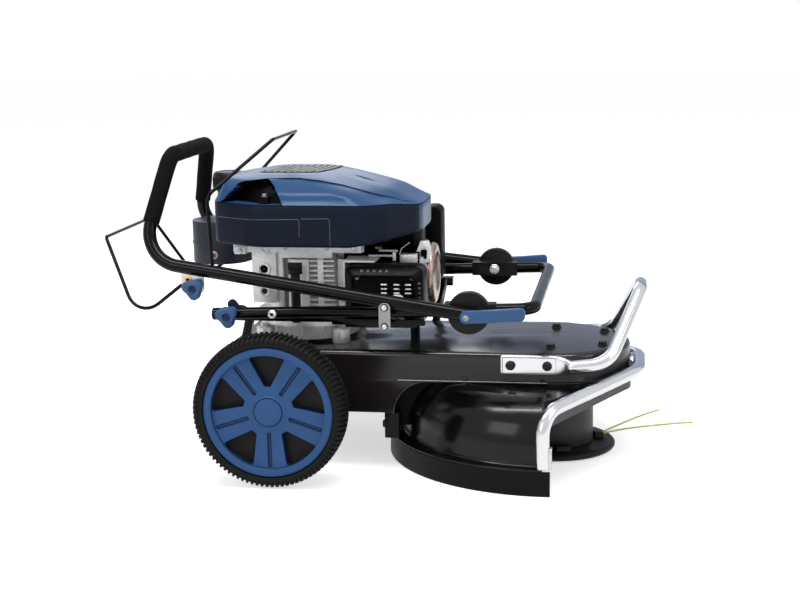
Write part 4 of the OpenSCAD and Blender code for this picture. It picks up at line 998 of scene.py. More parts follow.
@dataclass
class Wheel(Assembly):
    """One road wheel: a hub cap, a dark disc behind its windows, and a tyre with tread."""

    side: Side
    tyre_r: float = 125.0
    half: float = 26.0
    track_half: float = 266.0
    lugs: int = 92
    lug_height: float = 3.2
    lug_share: float = 0.56
    lug_skew: float = 0.4
    spokes: int = 5
    spoke_turn: float = -18.0
    window_r: tuple = (41.2, 92.8)
    window_half: tuple = (5, 33)
    groove_r: tuple = (34.8, 89.6)
    groove_half: float = 2.6
    web_z: float = 16.0
    carcass: tuple = (
        (105.6, -19), (107.5, -23.2), (112.5, -24.8), (117.5, -23.4), (120.2, -20), (121.2, -14), (121.5, 0),
        (121.2, 14), (120.2, 20), (117.5, 23.4), (112.5, 24.8), (107.5, 23.2), (105.6, 19))
    lug_line: tuple = ((121.5, 1.6), (121.2, 14), (120, 20.2), (117.4, 23.3), (113, 24.7))

    @property
    def frame(self) -> Matrix:
        """The wheel's frame, with Z along its outward axis."""
        place = Matrix.Translation((0, self.side.value * self.track_half, self.tyre_r))
        return place @ Matrix.Rotation(radians(-90 * self.side.value), 4, "X")

    def _lug(self, mirror: int) -> Form:
        """One tread block, from the middle of the tread over the shoulder.

        Args:
            mirror: 1 for the outer half of the tread and -1 for the inner half.

        Returns:
            The block, beside the wheel's X axis.
        """
        pitch = 2 * pi / self.lugs
        shape = Form("lug")
        loops = []
        for k, (r, h) in enumerate(self.lug_line):
            before = self.lug_line[max(k - 1, 0)]
            after = self.lug_line[min(k + 1, len(self.lug_line) - 1)]
            out = Vector((after[1] - before[1], before[0] - after[0])).normalized()
            rise = self.lug_height * (0.35 if k == len(self.lug_line) - 1 else 1)
            top_r = min(r + out.x * rise, self.tyre_r)
            top_h = min(h + out.y * rise, self.half)
            middle = self.lug_skew * pitch * min(h / 20, 1)
            half_foot = pitch * self.lug_share / 2
            half_top = half_foot * 0.78
            corners = ((r - 0.8, h, -half_foot), (top_r, top_h, -half_top), (top_r, top_h, half_top),
                       (r - 0.8, h, half_foot))
            loops.append([(rr * cos(middle + a), rr * sin(middle + a), hh * mirror) for rr, hh, a in corners])
        return shape.loft(loops)

    def build(self) -> None:
        """Builds the wheel's pieces."""
        body = f"{self.side.word}_wheel"
        tyre = f"{self.side.word}_tyre"
        ring = Form("carcass").lathe(self.carcass, self.frame, 128).dressed(TYRE_RUBBER)
        rows = [self.repeat(Repeat.ring(), self._lug(mirror), {"Count": self.lugs, "Start": start},
                            TYRE_RUBBER, self.frame) for mirror, start in ((1, 0.0), (-1, pi / self.lugs))]
        self.merged(tyre + "_tread", [ring, *rows], TYRE_RUBBER, tyre, body=body, angle=40)
        self.refine(f"{self.side.word}_rim", RIM_BLUE, 1.3)
        disc = Form(f"{self.side.word}_wheel_disc")
        disc.lathe([(24.6, 1), (60, -2), (99, 1), (99, 4), (60, 1), (24.6, 4)], self.frame, 72)
        self.form(disc, WHEEL_BLACK, body=body)
        # Dark window walls, groove outlines and a ring at the lip's foot, all painted shade on the rim
        shade = []
        for shape, turn in ((self._window(), -self.spoke_turn), (self._groove(), self.spoke_turn)):
            values = {"Count": self.spokes, "Start": radians(turn)}
            shade.append(self.repeat(Repeat.ring(), shape, values, RIM_SHADE, self.frame))
        foot = Form("lip_line")
        foot.lathe([(92.6, 15.9), (93.7, 15.9), (93.7, 17.2), (92.9, 16.7)], self.frame, 96)
        self.merged(f"{self.side.word}_rim_lines", [*shade, foot.dressed(RIM_SHADE)], RIM_SHADE, body=body)

    def _window(self) -> Form:
        """The walls of one window between the spokes, behind the rim's face, dark as painted shade.

        Returns:
            The shape, across the wheel's X axis.
        """
        inner, outer = self.window_r
        half_inner, half_outer = self.window_half
        corners = [(inner, 0, 0), (inner, -half_inner, 0), (outer, -half_outer, 0), (outer, half_outer, 0),
                   (inner, half_inner, 0), (inner, 0, 0)]
        line = bent(corners, [half_inner / 2, 7, 7, half_inner / 2], 6)[:-1]
        middle = Vector((inner * 0.35 + outer * 0.65, 0, 0))
        wall = ((-0.3, 15.2), (-1, 14.2), (-2, 1), (1.5, 1), (1.5, 7.8))
        loops = [[p + (p - middle).normalized() * out + Vector((0, 0, z)) for p in line] for out, z in wall]
        return Form("window_wall").loft(loops, closed=True)

    def _groove(self) -> Form:
        """A dark line round one spoke's groove: painted shade along its walls.

        Returns:
            The shape, across the wheel's X axis.
        """
        (near, far), half, z = self.groove_r, self.groove_half, self.web_z
        route = [(near, 0, z), (near, -half, z), (far, -half, z), (far, half, z), (near, half, z),
                 (near, 0.1, z)]
        return Form("groove_line").sweep(bent(route, [1.6] * 4, 4), 0.7, 8, 0.1)


@dataclass
class Chassis(Assembly):
    """The deck, the guard over the cutter, its skirt, the bumpers and their bolts."""

    spindle_x: float = 434.0
    deck_half: float = 130.0
    deck_h: float = 193.0
    lip_z: float = 143.0
    guard_r: float = 283.0
    guard_wall: float = 262.0
    shoulder_r: float = 200.0
    shoulder_low: float = 60.0
    ledge_z: float = 40.0
    sheet: float = 3.0
    housing_r: float = 42.0
    nose_x: float = 132.0
    nose_half: float = 46.0
    nose_start: float = 248.0
    lip_front: float = 119.0
    lip_rear: float = 98.0
    # Distance out from the middle of the black sheets that are painted shade inside the arch
    liner_y: float = 112.0
    plate_x: tuple = (356, 464)
    plate_z: tuple = (158, 191)
    tube_r: float = 11.0
    rail_r: float = 11.0
    rail_y: float = 272.0
    pivot: tuple = (-8, 205.5, 268)
    strap_x: float = 182.0
    strap_half: float = 9.3
    strap_y: tuple = (232.7, 235.6)
    strap_z: tuple = (250.2, 294.8)
    strap_bolt_z: float = 257.0
    strap_rivet_z: float = 288.0

    def build(self) -> None:
        """Builds the chassis pieces."""
        self.refine("deck_shell", DECK_BLACK, 1)
        self._guard()
        self._skirt()
        self._upper_bumper()
        self._lower_bumper()
        self._bolts()
        plain = (("guard_brackets", PLASTIC_BLACK, 1.5), ("spindle_housing", CASTING, 1),
                 ("handle_brackets", TUBE_BLACK, 1.2), ("lock_nuts", KNOB_NAVY, 2), ("axle", ZINC, 0.8))
        for node, finish, bevel in plain:
            self.refine(node, finish, bevel)
        self.keep("spindle_bearings", ZINC)

    def _guard(self) -> None:
        """The half dome behind the spindle and the flat nose in front of it."""
        r, low, wall, rim = self.shoulder_r, self.shoulder_low, self.guard_wall, self.guard_r
        lip, sheet, ledge = self.lip_z, self.sheet, self.ledge_z + self.sheet
        turns = [pi / 2 * k / 20 for k in range(21)]
        outer, inner = ([(r + (wall - thick - r) * sin(a), low + (lip - thick - low) * cos(a)) for a in turns]
                        for thick in (0, sheet))
        bead = [(190, lip), (193, lip + 1.2), (197, lip + 1.2)]
        edge = [(wall, ledge + 4), (wall + 3, ledge), (rim - 1, ledge), (rim, ledge - 1), (rim, self.ledge_z),
                (wall - sheet, self.ledge_z)]
        profile = [
            (self.housing_r, lip), *bead, *outer, *edge, *reversed(inner), (self.housing_r, lip - sheet)]
        where = Matrix.Translation((self.spindle_x, 0, 0))
        guard = Form("cutter_guard_shell").lathe(profile, where, 96, 90, 180)
        plan = [(0, -self.nose_start), (self.nose_x, -self.nose_half), (self.nose_x, self.nose_half),
                (0, self.nose_start)]
        guard.prism(plan, lip - sheet, lip, where)
        self.form(guard, GUARD_BLACK, "cutter_guard", bevel=0.8)
        path = bent(
            hoop([(0, -self.nose_start, self.lip_rear), (self.nose_x, -self.nose_half, self.lip_front)]),
            [30, 30], 8)
        loops = []
        for k, p in enumerate(path):
            way = path[min(k + 1, len(path) - 1)] - path[max(k - 1, 0)]
            side = Vector((-way.y, way.x, 0)).normalized() * sheet
            section = ((Vector(), lip - sheet), (Vector(), p.z), (side, p.z), (side, lip - sheet))
            loops.append([(p.x + self.spindle_x + d.x, p.y + d.y, z) for d, z in section])
        self.form(Form("nose_lip").loft(loops), LIP_BLACK, angle=40)
        # Black sheets inside the deck's walls between the arch and the dome: painted shade where the gap is
        # dark
        arch_shade = Form("arch_liner")
        for side in Side:
            y = side.value * self.liner_y
            arch_shade.prism([(170, 62), (212, 62), (262, 100), (300, 139), (170, 139)], y - 1.5, y + 1.5, UPRIGHT)
        self.form(arch_shade, NICHE_AND_SHADE_BLACK)

    def _skirt(self) -> None:
        """The flexible band round the guard's lower edge."""
        r = self.guard_r
        profile = [(r - 4, 1), (r - 3, 0), (r - 1, 0), (r, 1), (r - 0.2, 8), (r - 0.8, 22), (r, 38.5),
                   (r - 1, 40), (r - 4, 40)]
        where = Matrix.Translation((self.spindle_x, 0, 0))
        self.form(Form("guard_skirt_band").lathe(profile, where, 120, 87.5, 185), SKIRT_RUBBER, "guard_skirt")

    def _upper_bumper(self) -> None:
        """The bent tube in front of the deck, with its flattened ends bolted to the deck's walls."""
        mid_z = (self.plate_z[0] + self.plate_z[1]) / 2
        flat_y = self.deck_half + 4
        tube_y = self.deck_half + self.tube_r + 0.5
        knee = (531, -136, mid_z + 6)
        apex = (580, -28, 285)
        tube = bent(hoop([(self.plate_x[1] + 8, -tube_y, mid_z), knee, apex]), [45, 28, 28, 45], 14)
        sides = 28
        loops = []
        end = self.plate_x[0]
        for x, share in ((end, 0), (end + 3, 0), (440, 0), (450, 0.06), (458, 0.28), (464, 0.6), (469, 0.88)):
            middle = Vector((x, -flat_y + (flat_y - tube_y) * share, mid_z))
            loops.append(self._flattened(middle, share, sides, 1.5 if x == end else 0))
        form = Form("upper_bumper_tube")
        normal = Vector((0, 0, 1))
        for spot, way in zip(tube, tangents(tube)):
            normal = (normal - way * normal.dot(way)).normalized()
            other = normal.cross(way)
            loops.append([spot + (normal * sin(a) - other * cos(a)) * self.tube_r for a in angles(sides)])
        tail = [[(p[0], -p[1], p[2]) for p in loop] for loop in reversed(loops[:7])]
        loops += [self._matched(loops[-1], loop) for loop in tail]
        form.loft(loops)
        self.form(form, CHROME, "upper_bumper", angle=40)
        lines = Form("bumper_plate_lines")
        # A thin bright zinc line along each deck lip is a painted highlight on the lip's edge
        edge = Form("deck_lip_edge")
        z0, z1 = self.plate_z
        for side in Side:
            y = side.value * (self.deck_half + 8)
            route = [(400, y, z0 + 3), (end + 3, y, z0 + 3), (end + 3, y, z1 - 3), (446, y, z1 - 3),
                     (446, y, z0 + 3), (400.5, y, z0 + 3)]
            lines.sweep(bent(route, [3] * 4, 4), 0.6, 8, 0.1)
            edge.sweep([(184, y, self.lip_z + self.sheet), (432, y, self.lip_z + self.sheet)], 0.45, 8, 0.2)
        self.form(lines, BARE_STEEL)
        # Painted highlight line along the deck's lip
        self.form(edge, ZINC)

    def _flattened(self, middle: Vector, share: float, sides: int, short: float) -> list[Vector]:
        """A section between the flat plate and the round tube.

        Args:
            middle: The middle of the section.
            share: 0 for the plate and 1 for the tube.
            sides: Number of points.
            short: How much smaller the section is, for a broken edge.

        Returns:
            The section's points.
        """
        half_y = 4 + (self.tube_r - 4) * share - short
        half_z = 16.5 + (self.tube_r - 16.5) * share - short
        outline = soft_box(half_y, half_z, 0.28 + 0.72 * share, sides)
        return [middle + Vector((0, -u, v)) for u, v in outline]

    @staticmethod
    def _matched(last: Sequence[Point], loop: Sequence[Point]) -> list[Vector]:
        """A loop whose points are put in the order and start that lie nearest to the last loop's points.

        Args:
            last: The last loop.
            loop: The loop to put in order.

        Returns:
            The ordered loop.
        """
        ring = [Vector(p) for p in loop]
        base = [Vector(p) for p in last]
        best = None
        for order in (ring, list(reversed(ring))):
            for shift in range(len(ring)):
                tried = order[shift:] + order[:shift]
                cost = sum((a - b).length for a, b in zip(base, tried))
                if best is None or cost < best[0]:
                    best = (cost, tried)
        return best[1]

    def _lower_bumper(self) -> None:
        """The bent tube round the guard's nose, with a small tab at each foot."""
        foot = self.ledge_z + self.sheet
        leg_y = self.rail_y
        path = bent(hoop([(self.spindle_x, -leg_y, foot), (self.spindle_x, -leg_y, 130), (580, -55, 153)]),
                    [40, 90, 90, 40], 14)
        self.form(Form("lower_bumper_tube").sweep(path, self.rail_r, 24), CHROME, "lower_bumper")
        tabs = Form("lower_bumper_tabs")
        for side in Side:
            y = side.value * leg_y
            tabs.box((self.spindle_x + 4, y - 5, foot), (self.spindle_x + 14.5, y + 5, foot + 34))
        self.form(tabs, ZINC, bevel=1.2)

    def _bolts(self) -> None:
        """The bolts on the deck, the bumper's plates, the guard and the handle's rear pivots."""
        mid_z = (self.plate_z[0] + self.plate_z[1]) / 2
        spots = [(self.spindle_x + x, side.value * y, self.deck_h) for x, y in ((0, 80), (85, 53))
                 for side in Side]
        sets = [self.scatter("deck", hex_bolt("deck_bolt", 7, 5, 9), spots, LEVEL, BOLT_BLACK)]
        spots = [(x, side.value * (self.deck_half + 4), self.lip_z + self.sheet) for x in (296, 424)
                 for side in Side]
        sets.append(self.scatter("lip", hex_bolt("lip_bolt", 3.6, 5), spots, LEVEL, BOLT_BLACK))
        rear = turn_to((-1, 0, 0))
        spots = [(160, side.value * (self.deck_half - 11), 65) for side in Side]
        sets.append(self.scatter("rear", hex_bolt("bracket_bolt", 7, 4.6), spots, rear, BOLT_BLACK))
        pins = Form("pivot_pins")
        for side in Side:
            out = turn_to((0, side.value, 0))
            spots = [(x, side.value * (self.deck_half + 8), mid_z) for x in (372, 432)]
            sets.append(self.scatter("plate", hex_bolt("plate_bolt", 7, 4.8, 8, 1.2), spots, out, BOLT_BLACK))
            where = side.outward(*self.pivot)
            pins.rod(4, -33, 0, where, 20)
        self.merged(
            "machine_bolt_set", [*sets, pins.dressed(BOLT_BLACK)], BOLT_BLACK, "machine_bolts", angle=28)
        washers = Form("pivot_washers")
        for side in Side:
            where = side.outward(*self.pivot)
            washers.lathe([(3, 0), (7, 0), (7, 1.5), (6, 2.6), (4.5, 4), (3, 4)], where, 32)
        self.form(washers, ZINC)
        plates = Form("strap_plate_pair")
        rivets = Form("strap_rivets")
        rings = Form("strap_rings")
        (low, high), near, far = self.strap_z, self.strap_x - self.strap_half, self.strap_x + self.strap_half
        foot = (self.strap_x, low, 0)
        corners = [foot, (far, low, 0), (far, high, 0), (near, high, 0), (near, low, 0), foot]
        outline = [(p.x, p.y) for p in bent(corners, [7.5, 8.5, 8.5, 7.5], 8)[:-1]]
        for side in Side:
            y0, y1 = sorted(side.value * y for y in self.strap_y)
            plates.prism(outline, y0, y1, UPRIGHT)
            where = side.outward(self.strap_x, 200, self.strap_bolt_z)
            plates.rod(3.5, 0, 33, where, 20)
            for z, r in ((self.strap_rivet_z, 4.6), (self.strap_bolt_z, 4.4)):
                where = side.outward(self.strap_x, self.strap_y[1] + 0.1, z)
                rivets.lathe([(AXIS, 0), (r, 0), (r - 0.4, 4.6), (r - 2.4, 6.2), (AXIS, 6.6)], where, 28)
                rings.lathe([(r, 0), (r + 1.6, 0), (r + 1.6, 0.8), (r, 0.8)], where, 28)
        self.form(plates, STRAP_STEEL, "strap_plates", bevel=0.7)
        self.merged("strap_rivet_set", [rivets.dressed(ZINC), rings.dressed(BOLT_BLACK)], ZINC)


@dataclass
class Cover(Assembly):
    """The fan housing: a dark band, and a blue domed cover with a scooped panel, a niche and a grille."""

    x: float = 10.0
    rear: float = -138.0
    length: float = 356.0
    dip: float = 7.0
    width: float = 300.0
    band_low: float = 368.0
    low: float = 438.0
    height: float = 43.0
    rise: float = 16.0
    rise_x: float = 110.0
    plan: tuple = ((0.02, -0.66), (0.24, -1), (0.82, -1), (1, -0.4), (1, 0.4), (0.82, 1), (0.27, 1), (0, 0.1))
    rounds: tuple = (0.2, 0.5, 0.4, 0.4, 0.4, 0.4, 0.4, 0.2)
    levels: tuple = ((0, 0, 1, 1), (0.15, 0.012, 0.94, 0.983), (0.46, 0.035, 0.83, 0.94),
                     (0.84, 0.065, 0.65, 0.77), (1, 0.14, 0.57, 0.58))
    crease: tuple = ((-134, 440), (-122, 447), (-104, 462), (-72, 473.5), (-32, 477.5), (21, 478), (57, 474),
                     (93, 467), (127, 458), (158, 449), (188, 442), (216, 439))
    scoop: tuple = ((-40, 0), (0, 9), (60, 10), (127, 7.5), (188, 3), (216, 0.5))
    niche_edge: tuple = ((0, -1), (0.45, -8), (0.75, -19), (1, -36))
    niche_rear: tuple = ((0, -116), (0.6, -103), (1, -86))
    niche_depth: float = 34.0
    oval: tuple = (115, -22)
    oval_half: tuple = (15, 6.5)
    front_x: float = 200.0
    arc_steps: int = 22
    run_step: float = 2.6

    def build(self) -> None:
        """Builds the housing's pieces."""
        self._band()
        self._cover()
        self._niche_bolt()
        self._grille()

    def _corners(self, rear: float, front: float, wide: float, inset: float) -> list[Vector]:
        """The corners of the housing's plan at one level.

        Args:
            rear: Share of the length by which the rear end comes in.
            front: Share of the length at which the front end is.
            wide: Share of the width.
            inset: How far every edge comes in.

        Returns:
            The corners.
        """
        plan = [Vector((self.rear + self.length * (rear + (front - rear) * s), t * wide * self.width / 2))
                for s, t in self.plan]
        moved = []
        for i, p in enumerate(plan):
            d1 = (p - plan[i - 1]).normalized()
            d2 = (plan[(i + 1) % len(plan)] - p).normalized()
            n1, n2 = Vector((-d1.y, d1.x)), Vector((-d2.y, d2.x))
            moved.append(p + (n1 + n2) * (inset / (1 + n1.dot(n2))))
        return moved

    def _rim(self, rear: float, front: float, wide: float, inset: float = 0.0) -> list[Vector]:
        """The housing's rounded plan at one level, with the same number of points at every level.

        Args:
            rear: Share of the length by which the rear end comes in.
            front: Share of the length at which the front end is.
            wide: Share of the width.
            inset: How far every edge comes in.

        Returns:
            The points.
        """
        corners = self._corners(rear, front, wide, inset)
        base = self._corners(0, 1, 1, 0)
        count = len(corners)
        arcs = []
        for i, p in enumerate(corners):
            u = (corners[i - 1] - p).normalized()
            w = (corners[(i + 1) % count] - p).normalized()
            half = u.angle(w) / 2
            radius = self.rounds[i] * self.width / 2 * wide
            middle = p + (u + w).normalized() * radius / sin(half)
            start = p + u * radius / tan(half) - middle
            end = p + w * radius / tan(half) - middle
            a0 = atan2(start.y, start.x)
            turn = (atan2(end.y, end.x) - a0 + 3 * pi) % (2 * pi) - pi
            turns = [a0 + turn * k / self.arc_steps for k in range(self.arc_steps + 1)]
            arcs.append([middle + Vector((cos(a), sin(a))) * radius for a in turns])
        points = []
        for i, arc in enumerate(arcs):
            after = arcs[(i + 1) % count][0]
            steps = max(int((base[(i + 1) % count] - base[i]).length / self.run_step / 2), 2)
            points += arc
            points += [arc[-1].lerp(after, k / steps) for k in range(1, steps)]
        return points

    def _low_edge(self, x: float) -> float:
        """The height of the band's lower edge, which rises towards the front."""
        return self.band_low + self.rise * max(x - self.rise_x, 0) / (self.rear + self.length - self.rise_x)

    def _drop(self, x: float) -> float:
        """How far the housing dips towards its front end."""
        return self.dip * smooth_step(x, 165, 218)

    def _band(self) -> None:
        """The dark lower band of the fan housing, with thin raised panel lines on its right side, coloured
        lighter than the band as a painted highlight.
        """
        loops = []
        for inset, lift in ((14, 3), (4, 0), (1.4, 1), (0.2, 4), (0, 7)):
            loops.append([(p.x, p.y, self._low_edge(p.x) + lift) for p in self._rim(0, 1, 1, inset)])
        for inset, z in ((0, 425), (0, 435.4), (0.7, 437), (6, 437.2)):
            loops.append([(p.x, p.y, z - self._drop(p.x)) for p in self._rim(0, 1, 1, inset)])
        form = Form("fan_housing_band").loft(loops)
        form.bm.normal_update()
        for face in form.bm.faces:
            if face.calc_center_median().x > self.front_x and abs(face.normal.x) > 0.93:
                face.material_index = 1
        mesh = form.dressed(BAND_NAVY)
        mesh.materials.append(COVER_BLUE.material())
        self.piece(mesh, BAND_NAVY, "shroud_band", angle=40)
        # Raised panel lines, coloured lighter than the band as a painted highlight
        lines = Form("band_panel_lines")
        side = -self.width / 2
        rear = [(-122, -104.6, 413), (-60, -144.2, 413.6), (-46, side, 414), (28, side, 415), (28, side, 386)]
        front = [(31, side, 415.5), (79, side, 416.5), (79, side, 372)]
        for route, bends in ((rear, [10, 10, 4]), (front, [4])):
            lines.sweep(bent(route, bends, 6), 0.9, 8, 0.3)
        self.form(lines, BAND_LINE_HIGHLIGHT)

    def _level(self, share: float) -> tuple[float, float, float, float]:
        """The cover's level at a share of the way up its side, by a smooth curve through its levels.

        Args:
            share: The share of the way up.

        Returns:
            The shares of height, rear, front and width.
        """
        knots = [Vector((*level,)) for level in self.levels]
        place = share * (len(knots) - 1)
        i = min(int(place), len(knots) - 2)
        before = knots[i - 1] if i else knots[0] - (knots[1] - knots[0]) * 0.6
        after = knots[i + 2] if i + 2 < len(knots) else knots[-1] + (knots[-1] - knots[-2]) * 0.6
        return tuple(spline(before, knots[i], knots[i + 1], after, place - i))

    def _sides(self) -> list[list[Vector]]:
        """The cover's plain side as columns of points from its lower edge to its flat top.

        Returns:
            The columns.
        """
        steps = 72
        rows = []
        for k in range(steps + 1):
            high, rear, front, wide = self._level(k / steps)
            rows.append(
                [Vector((p.x, p.y, self.low + high * self.height)) for p in self._rim(rear, front, wide)])
        return [list(column) for column in zip(*rows)]

    def _crossing(self, column: Sequence[Vector]) -> float:
        """The place on a column, counted in its points, where the crease crosses it.

        Args:
            column: The column's points.

        Returns:
            The place.
        """
        for i, (a, b) in enumerate(zip(column, column[1:])):
            over_a = a.z - table_value(self.crease, a.x)
            over_b = b.z - table_value(self.crease, b.x)
            if over_b >= 0:
                return max(i + (-over_a / (over_b - over_a) if over_b > over_a else 0), 1.5)
        return len(column) - 1.5

    @staticmethod
    def _at(column: Sequence[Vector], place: float) -> Vector:
        """The point of a column at a place counted in its points."""
        i = min(int(place), len(column) - 2)
        return column[i].lerp(column[i + 1], place - i)

    def _inward(self, p: Vector) -> Vector:
        """The level direction from a point of the side to the cover's middle."""
        return Vector((self.x + 30 - p.x, -p.y * 1.6, 0)).normalized()

    def _panel_point(self, p: Vector, share: float) -> tuple[Vector, float]:
        """A point of the side below the crease, pressed in for the scoop or the niche.

        Args:
            p: The plain point.
            share: Its share of the way from the lower edge to the crease.

        Returns:
            The point, and its share of the niche's depth.
        """
        fade = smooth_step(abs(p.y), 20, 75)
        depth = table_value(self.scoop, p.x) * share * fade
        niche = 0
        if p.y < -40:
            edge = table_value(self.niche_edge, share)
            rear = table_value(self.niche_rear, share)
            niche = smooth_step(edge - p.x, 0, 3.5) * smooth_step(p.x - rear, 0, 4)
            deep = self.niche_depth * niche * smooth_step(share, 0, 0.04)
            depth = depth * (1 - niche) + deep
        return p + self._inward(p) * depth, niche

    def _dent(self, p: Vector) -> Vector:
        """A point of the cover's top, pressed down in the small oval dent.

        Args:
            p: The plain point.

        Returns:
            The pressed point.
        """
        dx, dy = p.x - self.oval[0], p.y - self.oval[1]
        along, across = dx * 0.84 - dy * 0.54, dy * 0.84 + dx * 0.54
        reach = hypot(along / self.oval_half[0], across / self.oval_half[1])
        return p - Vector((0, 0, 3.2 * (1 - smooth_step(reach, 0.72, 1))))

    def _cover(self) -> None:
        """The blue domed cover, with its scooped side panels and the dark niche."""
        below, above, cap = 26, 30, 8
        columns = []
        marks = []
        for column in self._sides():
            cross = self._crossing(column)
            last = len(column) - 1
            points, depths = [], []
            foot = column[0]
            for shift, drop in ((5, 0.4), (0.9, -0.3)):
                points.append(foot + self._inward(foot) * shift + Vector((0, 0, drop)))
                depths.append(0)
            for k in range(below + 1):
                share = k / below
                point, niche = self._panel_point(self._at(column, cross * share), share)
                points.append(point)
                depths.append(niche)
            lip = self._at(column, cross)
            inner, _ = self._panel_point(lip, 1)
            for share in (0.12, 0.04):
                points.append(lip.lerp(inner, share))
                depths.append(0)
            for k in range(1, above + 1):
                share = (k / above) ** 1.25
                points.append(self._dent(self._at(column, cross + max((last - cross) * share, 0.02 * k))))
                depths.append(0)
            columns.append(points)
            marks.append(depths)
        top = [points[-1] for points in columns]
        middle = sum(top, Vector()) / len(top)
        for points, depths in zip(columns, marks):
            edge = points[-1]
            for k in range(1, cap + 1):
                share = 1 - k / (cap + 1)
                swell = Vector((0, 0, 1.2 * (1 - share * share)))
                points.append(self._dent(middle + (edge - middle) * share + swell))
                depths.append(0)
        form = Form("engine_cover").loft([list(row) for row in zip(*columns)])
        form.bm.faces.ensure_lookup_table()
        count = len(columns)
        rows = [list(row) for row in zip(*marks)]
        for i in range(len(rows) - 1):
            for k in range(count):
                n = (k + 1) % count
                if rows[i][k] + rows[i][n] + rows[i + 1][k] + rows[i + 1][n] > 0.6:
                    form.bm.faces[i * count + k].material_index = 1
        for vert in form.bm.verts:
            vert.co.z -= self._drop(vert.co.x)
        mesh = form.dressed(COVER_BLUE)
        mesh.materials.append(NICHE_AND_SHADE_BLACK.material())
        self.piece(mesh, COVER_BLUE, "shroud_cover", angle=38)

    def _niche_bolt(self) -> None:
        """The bolt on a boss inside the niche."""
        place = (-33, -131, 0)
        head = hex_bolt("niche_bolt_head", 5, 4, 6.5, 1.2)
        bolt = self.scatter("niche_bolt", head, [(place[0], place[1], 450)], LEVEL, BARE_STEEL)
        profile = [(AXIS, 437), (10, 437), (8, 450), (AXIS, 450)]
        boss = Form("niche_boss").lathe(profile, Matrix.Translation(place), 28)
        self.merged("niche_boss_and_bolt", [boss.dressed(NICHE_AND_SHADE_BLACK), bolt], NICHE_AND_SHADE_BLACK)

    def _grille(self) -> None:
        """The bowed slats over the fan's air inlet, on a dark plate that is painted shade in the gaps between
        them.
        """
        slats, step, half, lean, bow = 9, 12, 56, 0.2, 7
        middle = 2
        plate = [(middle + u + v * lean, v) for u, v in soft_box(55, 60, 0.35, 48)]
        # Dark plate under the slats: painted shade for the inlet's gaps
        base = Form("grille_plate").loft(
            [[(*p, z) for p in plate] for z in (480.5, 482)]).dressed(NICHE_AND_SHADE_BLACK)
        slat = Form("grille_slat")
        loops = []
        for k in range(13):
            t = k / 6 - 1
            small = 0.55 if k in (0, 12) else 1
            x = t * half * lean + bow * (1 - t * t)
            section = ((-2.6, 0), (-2.4, 1.5), (-1.5, 2.2), (1.5, 2.2), (2.4, 1.5), (2.6, 0))
            loops.append([(x + dx * small, t * half, dz * small) for dx, dz in section])
        slat.loft(loops)
        start = Matrix.Translation((middle - bow / 2 - step * (slats - 1) / 2, 0, 481.7))
        values = {"Count": slats, "Step": (step, 0.0, 0.0), "Taper": 0.1}
        rows = self.repeat(Repeat.row(), slat, values, GRILLE_GREY, start)
        self.merged("cover_grille_slats", [base, rows], GRILLE_GREY, "cover_grille")


